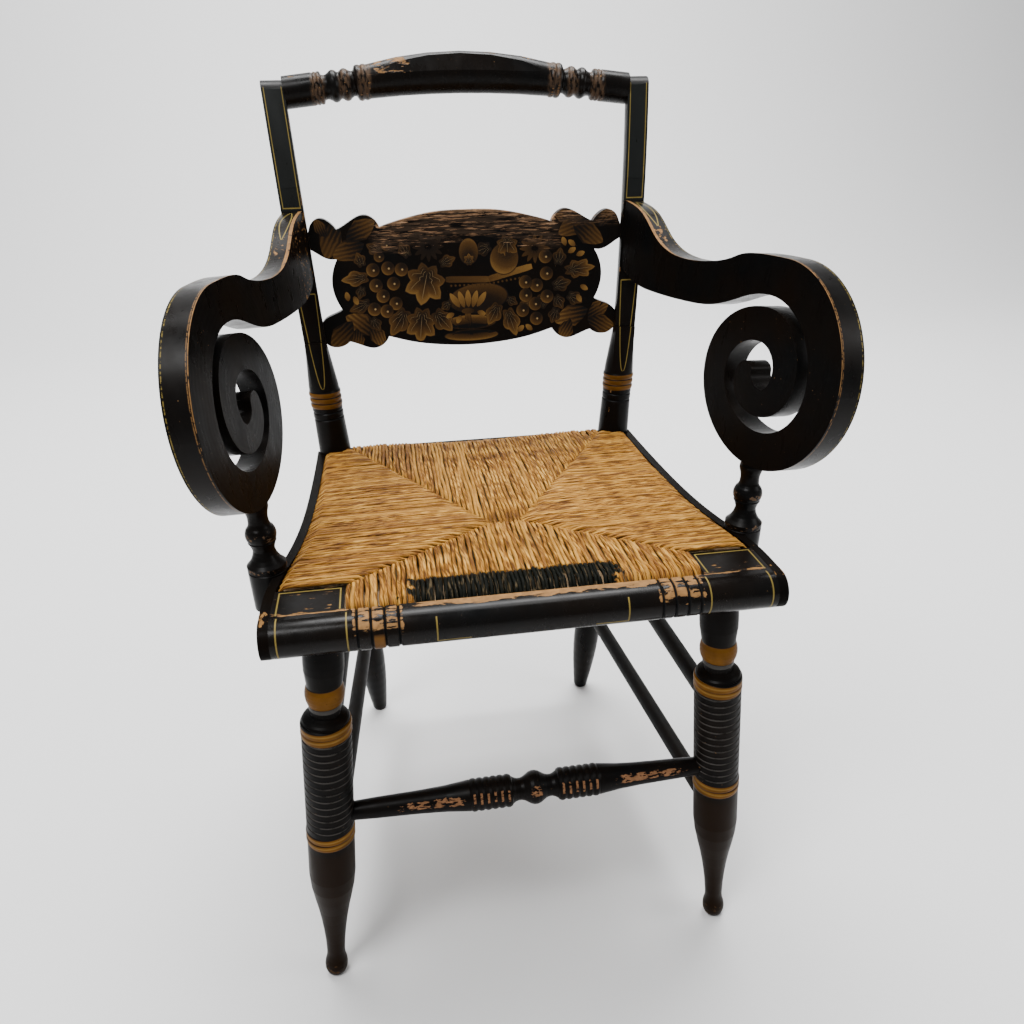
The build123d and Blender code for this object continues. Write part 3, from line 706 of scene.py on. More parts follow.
@dataclass
class ScrollArms(Woodwork):
    """The volute arms and their turned posts.

    Attributes:
        origin: where the board's middle meets the back post, at the eye's height, in millimetres.
        toe_out: degrees that the arm opens outwards.
        lean: degrees that its board leans.
        eye: the reach of the scroll's eye from the back post.
        half_thickness: half the board's thickness.
    """

    origin: Place = (179.94, 159.0, 604.0)
    toe_out: float = 8.92
    lean: float = 4.6
    eye: float = 299.0
    half_thickness: float = 10.5

    def plane(self, on: Surface) -> tuple[Field, Field, Field]:
        """A place on the arm: its reach from the post, its height over the eye and its depth in the board.

        Args:
            on: the arm's surface.

        Returns:
            Reach, height and depth, the last positive towards the sitter.
        """
        toe, lean = math.radians(self.toe_out), math.tan(math.radians(self.lean))
        inward = Vector((-math.cos(toe), -math.sin(toe), math.cos(toe) * lean)).normalized()
        ahead = Vector((math.sin(toe), -math.cos(toe), 0.0))
        x, y, z = (axis - start for axis, start in zip((on.side, on.y, on.z), self.origin))
        depth = x * inward.x + y * inward.y + z * inward.z
        return x * ahead.x + y * ahead.y, z, depth

    def outline(self, on: Surface) -> tuple[Field, Field]:
        """The outer edge of the arm: where it is, and how far across it a place lies.

        Args:
            on: the arm's surface.

        Returns:
            The mask of the outer edge's face, and the depth in the board.
        """
        reach, height, depth = self.plane(on)
        radius = ((reach - self.eye).squared() + height.squared()).root()
        on_scroll = radius.above(74.0, 1.0) * reach.above(self.eye, 1.0)
        on_top = reach.below(self.eye, 1.0) * height.above(62.0, 1.0)
        under = reach.below(self.eye, 1.0) * height.below(-5.0, 1.0) * radius.above(66.0, 1.0)
        flat = depth.size().below(self.half_thickness - 0.15, 0.1)
        return on_scroll.either(on_top).either(under) * flat, depth

    def lens(self, on: Surface) -> Field:
        """The gilt pointed oval on top of the arm, next to the post.

        Args:
            on: the arm's surface.

        Returns:
            Its mask.
        """
        reach, height, depth = self.plane(on)
        swell = ((reach - 32.0) / 30.0).squared().inverse().either(0.0)
        line = (depth.size() - swell * 5.2).size().below(0.55, 0.15)
        return line * reach.between(4.0, 61.0) * height.above(64.0)

    def dress(self) -> None:
        """Paints the arms and the arm posts."""
        def worn(on: Surface) -> Field:
            """A thin bare line along the inner top edge, wider by the post, and scuffs beside it.

            Args:
                on: the surface.

            Returns:
                The mask.
            """
            reach, height, depth = self.plane(on)
            edge, _ = self.outline(on)
            top = height.above(-10.0, 30.0)
            width = reach.below(112.0, 12.0) * 2.8 + 1.0
            line = edge * top * (depth - (width * -1.0 + self.half_thickness)).above(0.0, 0.25)
            scuffs = reach.near(74.0, 24.0, 16.0) * edge * top * 0.50
            specks = on.mirror.below(0.0) * reach.below(70.0, 20.0) * depth.above(9.0, 0.5) * 0.44
            return (line * 0.98).either(scuffs).either(specks)

        coat = BlackPaint("arms_black", 0.25, Wear(0.05, (4.0, 6.0, 4.0), 17.0), 0.09).coat(worn)
        on = coat.on
        edge, depth = self.outline(on)
        gild(coat, edge * (depth + 8.8).size().below(0.35, 0.2), GILT, 0.9)
        gild(coat, edge * (depth - 8.6).size().below(0.35, 0.2), BARE_WOOD, 0.7)
        coat.lay(depth.size().above(self.half_thickness - 0.12, 0.1), gloss=0.008)
        gild(coat, self.lens(on) * edge, GILT, 0.1)
        reach, height, _ = self.plane(on)
        turned = ((reach - self.eye).squared() + height.squared()).root()
        brushed = (turned * 1.1 + on.noise(26.0, 2.0, 0.5, 19.0) * 9.0).sine()
        coat.relief(brushed * 0.5 + 0.5, 0.02)
        self.paint(self.both("arm"), coat.material)

        def post_worn(on: Surface) -> Field:
            """Rubbed on the rim, the beads and the drop's edge."""
            rim_and_beads = on.z.near(450.0, 3.0, 1.5).either(on.z.near(480.5, 5.0, 2.0))
            return rim_and_beads.either(on.z.near(409.5, 1.5, 1.0)) * 0.56

        wear = Wear(0.08, (6.0, 6.0, 4.0), 23.0, DULL_WOOD)
        posts = BlackPaint("arm_posts_black", 0.28, wear).coat(post_worn)
        self.paint(self.both("arm_post"), posts.material)


@dataclass
class SeatFrame(Woodwork):
    """The front roll, corner blocks, strips and hidden rails.

    Attributes:
        block_x: inner and outer side of a corner block, in millimetres.
        block_y: its front and rear.
        ring_first: the first groove between the roll's rings.
        ring_pitch: from groove to groove.
        grooves: how many there are at each end.
    """

    block_x: Pair = (153.0, 211.5)
    block_y: Pair = (-207.5, -169.0)
    ring_first: float = 109.6
    ring_pitch: float = 11.1
    grooves: int = 4

    def ring_zone(self, on: Surface) -> Field:
        """Where the roll's rings are."""
        last = self.ring_first + (self.grooves - 1) * self.ring_pitch
        return on.side.between(self.ring_first - 4.0, last + 4.0, 1.0)

    def dress_roll(self) -> None:
        """Paints the front roll: a long rubbed streak on top, bare rings, gilt lines and one gilt ring."""
        def worn(on: Surface) -> Field:
            """Bare along the back of its top, and on the rings.

            Args:
                on: the surface.

            Returns:
                The mask.
            """
            rear = on.y.above(-216.0, 5.0) * on.z.above(440.0, 3.0)
            long_streak = on.x.between(-96.0, 150.0, 16.0) * rear
            ends = on.side.between(150.0, 205.0, 3.0) * on.y.above(-209.5, 1.2) * on.z.above(440.0, 2.0) * 0.75
            rings = self.ring_zone(on) * on.z.above(431.0, 8.0) * 0.62
            return (long_streak * 0.95).either(ends).either(rings)

        coat = BlackPaint("roll_black", 0.17, Wear(0.16, (19.0, 6.0, 5.0), 29.0), 0.11).coat(worn)
        on = coat.on
        for index in range(self.grooves):
            groove = on.side.near(self.ring_first + index * self.ring_pitch, 1.1, 0.35)
            coat.lay(groove, BLACK, 0.6)
        nose = on.y.below(-212.0, 1.0)
        gild(coat, on.side.near(151.0, 0.6) * nose * on.z.above(418.0, 1.0), GILT, 0.25)
        gild(coat, on.side.near(206.0, 0.6) * nose, GILT, 0.1)
        bracket = on.side.near(79.7, 0.6) * on.z.between(420.0, 441.0) * nose
        run = on.side.between(52.0, 80.2) * on.z.near(420.0, 0.6) * nose
        gild(coat, bracket.either(run), GILT, 0.25)
        gild(coat, on.x.between(-130.0, -121.6, 0.4) * nose * on.z.below(431.0, 2.0), BRONZE, 0.2)
        self.paint(["front_roll"], coat.material)

    def dress_blocks(self) -> None:
        """Paints the corner blocks, with a gilt rectangle on top of each."""
        def worn(on: Surface) -> Field:
            """Rubbed in streaks on top and at the front edge."""
            front = on.y.below(-203.5, 1.5) * 0.55
            return (on.facing_z.above(0.8, 0.1) * 0.24).either(front)

        coat = BlackPaint("blocks_black", 0.28, Wear(0.15, (16.0, 4.0, 4.0), 37.0)).coat(worn)
        on = coat.on
        low_x, high_x = self.block_x
        low_y, high_y = self.block_y
        top = on.facing_z.above(0.8, 0.1)
        inner = on.side.near(low_x + 3.2, 0.6) * on.y.between(low_y + 2.0, high_y - 3.0)
        outer = on.side.near(high_x - 4.5, 0.6) * on.y.between(low_y, high_y - 3.0)
        rear = on.y.near(high_y - 3.5, 0.6) * on.side.between(low_x + 3.2, high_x - 4.0)
        gild(coat, inner.either(outer).either(rear) * top, GILT, 0.25)
        self.paint(self.both("corner_block"), coat.material)

    def dress(self) -> None:
        """Paints everything round the rush, and leaves the hidden rails bare."""
        self.dress_roll()
        self.dress_blocks()
        wear = Wear(0.10, (5.0, 14.0, 5.0), 41.0)
        strips = BlackPaint("strips_black", 0.27, wear, 0.012).coat(
            lambda on: on.z.above(443.5, 0.8) * on.y.below(-195.0, 8.0) * 0.5)
        self.paint(self.both("side_strip") + ["rear_strip"], strips.material)
        wood = Coat("bare_maple", MAPLE, 0.6)
        wood.lay(wood.on.noise((3.0, 50.0, 3.0), 3.0).above(0.5, 0.1), MAPLE_GRAIN)
        self.paint(["front_seat_rail", "rear_seat_rail"], wood.material)
        self.paint(self.both("side_seat_rail", "arm_dowel", "arm_post_peg"), wood.material)


# ---- modelling by hand
class Bench:
    """Modelling steps that the new pieces share."""

    @staticmethod
    def clear() -> None:
        """Deselects everything."""
        bpy.ops.object.select_all(action="DESELECT")

    @staticmethod
    def cover(piece: bpy.types.Object, material: bpy.types.Material) -> None:
        """Gives a piece one material."""
        piece.data.materials.clear()
        piece.data.materials.append(material)

    @staticmethod
    def place(name: str, data: bpy.types.ID) -> bpy.types.Object:
        """Puts a mesh, lamp or camera into the scene.

        Args:
            name: the new object's name.
            data: what it shows.

        Returns:
            The object.
        """
        piece = bpy.data.objects.new(name, data)
        bpy.context.scene.collection.objects.link(piece)
        return piece

    @staticmethod
    def keep_mesh(piece: bpy.types.Object) -> bpy.types.Mesh:
        """Takes a piece's mesh as a blank to copy from, and clears the piece away.

        Args:
            piece: the modelled piece.

        Returns:
            The blank.
        """
        mesh = piece.data.copy()
        bpy.data.objects.remove(piece)
        return mesh

    @staticmethod
    def flat_petal(rings: int, spokes: int) -> bpy.types.Mesh:
        """A flat round blank of rings and spokes, as the start of every stencil motif.

        Args:
            rings: how many rings of faces it has.
            spokes: how many faces go round.

        Returns:
            The blank's mesh, with radius 1, in the plane of X and Y.
        """
        Bench.clear()
        bpy.ops.mesh.primitive_uv_sphere_add(segments=spokes, ring_count=2 * rings, radius=1.0)
        blank = bpy.context.object
        bpy.ops.object.mode_set(mode="EDIT")
        bpy.ops.mesh.select_all(action="SELECT")
        bpy.ops.mesh.bisect(plane_co=(0, 0, 0), plane_no=(0, 0, 1), clear_inner=True)
        bpy.ops.mesh.select_all(action="SELECT")
        bpy.ops.transform.resize(value=(1.0, 1.0, 0.0))
        bpy.ops.object.mode_set(mode="OBJECT")
        return Bench.keep_mesh(blank)

    @staticmethod
    def face_front(mesh: bpy.types.Mesh) -> None:
        """Turns every face of a flat cut to the front.

        Args:
            mesh: the cut's mesh.
        """
        work = bmesh.new()
        work.from_mesh(mesh)
        work.normal_update()
        for face in work.faces:
            if face.normal.y > 0:
                face.normal_flip()
        work.to_mesh(mesh)
        work.free()

    @staticmethod
    def join(pieces: Sequence[bpy.types.Object], name: str) -> bpy.types.Object:
        """Joins pieces into one.

        Args:
            pieces: what is joined.
            name: the name of the result.

        Returns:
            The joined piece.
        """
        Bench.clear()
        for piece in pieces:
            piece.select_set(True)
        bpy.context.view_layer.objects.active = pieces[0]
        bpy.ops.object.join()
        joined = bpy.context.view_layer.objects.active
        joined.name = name
        joined.data.name = name
        return joined


@dataclass
class Motif:
    """One cut of a stencil, in the slat's own plane.

    Attributes:
        at: its middle, as (x, z) in millimetres.
        reach: its half length and half width.
        turn: degrees that it is turned anticlockwise; its bright end points that way.
        cut: what it shows.
        lobes: how many pointed lobes its edge has, or 0 for a plain round.
        depth: how deep the cuts between lobes are, from 0 to 1.
        shine: how bright the bronze is.
        point: how pointed its two ends are, from 0 to 1.
        square: whether it is a bar with square ends.
    """

    at: Pair
    reach: Pair
    turn: float = 0.0
    cut: Cut = Cut.BRIGHT
    lobes: int = 0
    depth: float = 0.4
    shine: float = 0.8
    point: float = 0.0
    square: bool = False

    def edge(self, angle: float) -> float:
        """The outline's radius at an angle, as a share of its reach.

        Args:
            angle: the angle from the motif's own length, in radians.

        Returns:
            The share.
        """
        share = 1.0
        if self.lobes:
            step = abs(angle) * self.lobes / math.tau % 1.0
            share -= self.depth * (1.0 - abs(2.0 * step - 1.0)) ** 1.1
            share *= 0.84 + 0.16 * math.cos(angle)
        if self.point:
            share *= 1.0 - self.point * abs(math.sin(angle)) ** 0.8 * abs(math.cos(angle)) ** 0.5
        if self.square:
            share /= max(abs(math.sin(angle)), abs(math.cos(angle)))
        return share


@dataclass
class Slat(Woodwork):
    """The stencilled slat: a footed bowl of fruit between grapes and vine leaves, and four leafy scrolls.

    Attributes:
        lift: how far the first cut stands off the wood, in metres.
        layer: how much further off each later cut stands.
        arch_top: height of the arched top in the middle, in millimetres.
        arch_fall: how far it falls over the half width.
        arch_half: that half width.
        motifs: the cuts, the later over the earlier.
    """

    lift: float = 0.00010
    layer: float = 0.000004
    arch_top: float = 710.0
    arch_fall: float = 14.0
    arch_half: float = 98.0
    motifs: list[Motif] = field(default_factory=list)

    def add(self, *motifs: Motif) -> None:
        """Adds cuts to the stencil, the later over the earlier."""
        self.motifs.extend(motifs)

    def fruit(self, size: float, shine: float, *places: Pair) -> None:
        """Lays out round fruit of one radius, brighter at the lower left."""
        for index, place in enumerate(places):
            self.add(Motif(place, (size, size), 215.0 + 14.0 * (index % 3), Cut.FRUIT, shine=shine))

    def globe(self, at: Pair, reach: Pair, turn: float, shine: float) -> None:
        """Lays out a large shaded round, brightest towards its turn."""
        self.add(Motif(at, reach, turn, Cut.GLOBE, shine=shine))

    def leaf(self, x: float, z: float, length: float, turn: float, shine: float,
             broad: float, lobes: int = 5) -> None:
        """Lays out one veined leaf: its middle, its length, its tip's direction, its width over its length."""
        self.add(Motif((x, z), (length / 2, length / 2 * broad), turn, Cut.LEAF, lobes, 0.30, shine))

    def scrolls(self) -> None:
        """Lays out the curling leaves on the four scrolled corners, brighter on the lower ones."""
        for x, z, size, turn in (
                (-119, 693, 19, 30), (-152, 684, 21, 250), (-134, 672, 19, 200), (-162, 697, 11, 120),
                (112, 702, 15, 150), (122, 690, 19, 210), (140, 681, 20, 330), (160, 700, 14, 60),
                (-126, 591, 21, 150), (-110, 577, 15, 300), (-150, 580, 20, 230), (-133, 574, 13, 270),
                (120, 589, 21, 200), (113, 572, 15, 250), (152, 596, 16, 40), (156, 578, 18, 340)):
            shine = 0.98 if z < 650 else 0.78
            self.add(Motif((x, z), (size, size * 0.62), turn, Cut.RIBBED, shine=shine, point=0.25))

    def bowl(self) -> None:
        """Lays out the footed, fluted bowl: its body, foot and stem, then rim, beads, flutes and knop."""
        self.globe((10, 613), (17, 36), 95, 0.62)
        self.globe((0, 586), (8.5, 31), 90, 0.95)
        self.add(Motif((0, 583), (25, 4.2), cut=Cut.GROUND))
        self.globe((0, 571), (6.6, 33), 270, 1.0)
        self.add(Motif((0, 574), (29, 2.6), cut=Cut.GROUND),
                 Motif((-3, 590), (9, 4.2), 90, Cut.RIBBED, shine=0.9),
                 Motif((-1, 634.5), (26, 3.6), 358, shine=0.62, square=True),
                 Motif((48, 640), (27, 3.6), 14, shine=0.92, square=True))
        for x in range(-21, 64, 5):
            self.add(Motif((x, 628.2 + max(x - 20, 0) * 0.14), (1.3, 1.3), shine=0.55))
        for step in range(-2, 3):
            middle = (-2 + step * 7.8, 613 - abs(step) * 0.7)
            self.add(Motif(middle, (10.0, 3.7), 90 - step * 17, shine=1.0, point=0.15))
        self.add(Motif((-3, 599), (7.5, 3.2), 180, shine=0.45))

    def daisy(self, centre: Pair, size: float, shine: float) -> None:
        """Lays out a dark flower of narrow petals.

        Args:
            centre: its middle.
            size: its radius.
            shine: how bright it is.
        """
        for turn in range(0, 360, 30):
            angle = math.radians(turn)
            middle = (centre[0] + math.cos(angle) * size * 0.6, centre[1] + math.sin(angle) * size * 0.52)
            self.add(Motif(middle, (size * 0.40, size * 0.15), turn, shine=shine, point=0.2))

    def foliage(self) -> None:
        """Lays out the small filling leaves, then the leaves of both sides."""
        for x, z, length, turn in (
                (-71, 668, 25, 120), (-27, 607, 19, 215), (106, 625, 30, 15), (100, 592, 25, 250),
                (-124, 628, 20, 250), (86, 606, 28, 70), (48, 609, 20, 330), (-112, 592, 24, 300)):
            self.leaf(x, z, length, turn, 0.48, 0.75)
        for leaf in (
                (-126, 642, 40, 184, 0.95, 0.55), (-122, 660, 22, 110, 0.6, 0.8),
                (-124, 612, 34, 200, 0.6, 0.6), (-82, 594, 46, 235, 0.8, 0.65),
                (-58, 590, 52, 262, 0.95, 0.9, 7), (-35, 592, 40, 310, 0.8, 0.75),
                (-104, 672, 24, 150, 0.5, 0.8), (126, 642, 46, 6, 0.9, 0.6, 7),
                (106, 654, 26, 80, 0.5, 0.8), (122, 610, 26, 330, 0.5, 0.8),
                (104, 607, 24, 300, 0.5, 0.8), (47, 588, 44, 288, 0.95, 0.6),
                (29, 597, 36, 240, 0.85, 0.7), (62, 600, 24, 40, 0.6, 0.7), (20, 668, 26, 200, 0.35, 0.8)):
            self.leaf(*leaf)

    def lay_out(self) -> None:
        """Lays out the whole stencil."""
        self.bowl()
        self.scrolls()
        self.daisy((-45, 672), 18, 0.22)
        self.daisy((78, 666), 18, 0.42)
        self.foliage()
        self.globe((1, 665), (15, 11.5), 90, 0.8)
        self.leaf(1, 655, 17, 90, 0.85, 0.9, 7)
        self.globe((42, 656), (18, 17), 250, 1.0)
        self.leaf(46, 672, 34, 270, 0.8, 0.95, 7)
        self.leaf(-50, 636, 60, 255, 1.0, 0.98, 7)
        self.leaf(-26, 655, 26, 20, 0.6, 0.7)
        self.fruit(6.2, 0.7, (-92, 676), (-101, 664))
        self.fruit(7.8, 0.85, (-109, 650), (-92, 651), (-77, 649), (-107, 633), (-87, 634))
        self.fruit(7.8, 0.9, (-100, 621), (-86, 612), (-111, 607), (-97, 604))
        self.fruit(8.0, 0.85, (90, 657), (91, 638), (79, 625), (66, 629), (66, 614), (91, 612))
        self.fruit(8.0, 0.8, (77, 604), (62, 597), (78, 587))
        self.buds()

    def buds(self) -> None:
        """Lays out the loose buds at both ends and under the bowl."""
        for x, z, turn in (
                (-140, 623, 100), (-131, 618, 290), (112, 673, 110), (121, 671, 140), (121, 663, 30),
                (131, 659, 20), (135, 621, 330), (129, 609, 300), (-24, 595, 200), (-14, 590, 240),
                (13, 596, 340), (59, 576, 40), (69, 577, 140)):
            self.add(Motif((x, z), (5.2, 3.2), turn, shine=0.95, point=0.14))

    def surface_y(self, x: float, z: float) -> Optional[float]:
        """The y of the slat's front face at a place, all in metres, or None past the slat's edge."""
        hit, place, _, _ = self.node("back_slat").ray_cast(Vector((x, -1.0, z)), Vector((0.0, 1.0, 0.0)))
        return place.y if hit else None

    def settle(self, motif: Motif, own: Vector) -> Vector:
        """Finds where a corner of a cut lies on the slat, drawn in to its edge if it falls past it.

        Args:
            motif: the cut.
            own: the corner from the cut's middle, in millimetres.

        Returns:
            The place in metres.
        """
        steps = 20
        for share in range(steps, -1, -1):
            x = (motif.at[0] + own.x * share / steps) * MM
            z = (motif.at[1] + own.y * share / steps) * MM
            y = self.surface_y(x, z)
            if y is not None:
                return Vector((x, y, z))
        raise ValueError(f"a cut at {motif.at} lies off the slat")

    def build_stencil(self) -> bpy.types.Object:
        """Models every cut as thin bronze leaf on the slat's face.

        Returns:
            The stencil, as one piece.
        """
        blank = Bench.flat_petal(2, 28)
        pieces = []
        for order, motif in enumerate(self.motifs):
            mesh = blank.copy()
            mesh.attributes.new("spot", "FLOAT_VECTOR", "POINT")
            mesh.attributes.new("kind", "FLOAT", "POINT")
            spot, kind = mesh.attributes["spot"].data, mesh.attributes["kind"].data
            turn = Matrix.Rotation(math.radians(motif.turn), 2)
            forward = Vector((0.0, -self.lift - order * self.layer, 0.0))
            for vertex in mesh.vertices:
                u, v, _ = vertex.co
                share = motif.edge(math.atan2(v, u))
                own = turn @ Vector((u * motif.reach[0] * share, v * motif.reach[1] * share))
                spot[vertex.index].vector = (u, v, motif.shine)
                kind[vertex.index].value = motif.cut.value
                vertex.co = self.settle(motif, own) + forward
            Bench.face_front(mesh)
            pieces.append(Bench.place(f"stencil_cut_{order}", mesh))
        stencil = Bench.join(pieces, "slat_stencil")
        bpy.data.meshes.remove(blank)
        return stencil

    def worn(self, on: Surface) -> Field:
        """Rubbed in long streaks along the top, and at the scrolls' edges.

        Args:
            on: the slat's surface.

        Returns:
            The mask.
        """
        crown = self.crown(on)
        rim = (crown - on.z).below(7.0, 3.0) * on.side.below(104.0, 4.0)
        low_streaks = (crown - on.z).near(34.0, 5.0, 3.0) * on.side.below(92.0, 8.0)
        scrolls = on.x.above(104.0, 6.0) * on.z.above(697.0, 4.0) * 0.5
        return (rim * 0.72).either(scrolls).either(low_streaks * 0.40)

    def crown(self, on: Surface) -> Field:
        """Height of the slat's arched top."""
        return (on.side / self.arch_half).squared() * -self.arch_fall + self.arch_top

    def streaks(self, coat: Coat) -> None:
        """Lays the weathered band along the top: brown-grey streaks, with fine tan ones between.

        Args:
            coat: the finish it is laid on.
        """
        on = coat.on
        fade = on.noise((26.0, 26.0, 6.0), 3.0, 0.5, 33.0) * 30.0
        band = (self.crown(on) - on.z + fade).below(42.0, 5.0) * on.side.below(104.0, 8.0)
        corner = on.x.above(100.0, 8.0) * on.z.above(694.0, 6.0) * 0.8
        zone = band.either(corner)
        broad = on.noise((30.0, 30.0, 2.6), 5.0, 0.62, 51.0).above(0.475, 0.05)
        fine = on.noise((20.0, 20.0, 1.5), 5.0, 0.65, 57.0).above(0.575, 0.02)
        coat.lay(zone * broad * 0.8, WEATHERED, 0.6)
        coat.lay(zone * fine * 0.9, TAN_STREAK, 0.65)

    def dress(self) -> None:
        """Paints the slat and its stencil with one set of rubbed streaks."""
        wear = Wear(0.06, (34.0, 30.0, 2.6), 43.0, SLAT_WOOD)
        coat = BlackPaint("slat_black", 0.30, wear).coat(self.worn)
        self.streaks(coat)
        self.paint(["back_slat"], coat.material)
        bronze = self.bronze()
        self.streaks(bronze)
        on = bronze.on
        bronze.lay(on.chips(self.worn(on) + wear.amount, wear.patch, wear.shift), wear.wood, 0.62)
        self.lay_out()
        stencil = self.build_stencil()
        Bench.cover(stencil, bronze.material)
        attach(stencil, "root")
        log.info("stencil of %d cuts", len(self.motifs))

    def bronze(self) -> Coat:
        """Bronze powder on black, dusted thickest at the edges of each cut, with pale veins and dots.

        Returns:
            The finish.
        """
        coat = Coat("slat_bronze", BLACK, 0.40, 0.12)
        on = coat.on
        u, v, shine = on.parts("spot")
        radius = (u.squared() + v.squared()).root()
        kind = on.attribute("kind")
        fruit, leaf, ribbed, bright, globe = (kind.near(cut.value, 0.4, 0.01) for cut in (
            Cut.FRUIT, Cut.LEAF, Cut.RIBBED, Cut.BRIGHT, Cut.GLOBE))
        tone = (fruit + globe) * (radius.squared() * 0.30 + u * 0.32 + 0.30)
        tone = tone + leaf * (radius.squared() * 0.50 + u * 0.26 + 0.20)
        tone = tone + ribbed * ((v * 15.0 + u * 5.0).sine() * 0.13 + u * 0.32 + 0.40)
        tone = tone + bright * (u * 0.22 + 0.78)
        tone = (tone + on.noise(1.3, 3.0, 0.6, 3.0) * 0.24 - 0.12) * shine
        coat.lay(tone.above(0.20, 0.16), THIN_DUST, 0.45)
        coat.lay(tone.above(0.42, 0.20), BRONZE_DUST, 0.42)
        coat.lay(tone.above(0.74, 0.18), THICK_DUST, 0.40)
        coat.lay((fruit + leaf + globe) * radius.above(0.955, 0.025), BLACK, 0.35)
        along = u + 0.8
        from_stem = (along.squared() + v.squared()).root()
        spread = (v.angle_over(along) * 8.0).sine().size() * from_stem
        veins = leaf * spread.below(0.075, 0.05) * radius.below(0.70, 0.10) * from_stem.above(0.35, 0.15)
        coat.lay(veins, LEAF_VEIN)
        dot = ((u + 0.05).squared() + (v - 0.12).squared()).root()
        coat.lay(fruit * dot.below(0.13, 0.06), FRUIT_DOT)
        return coat


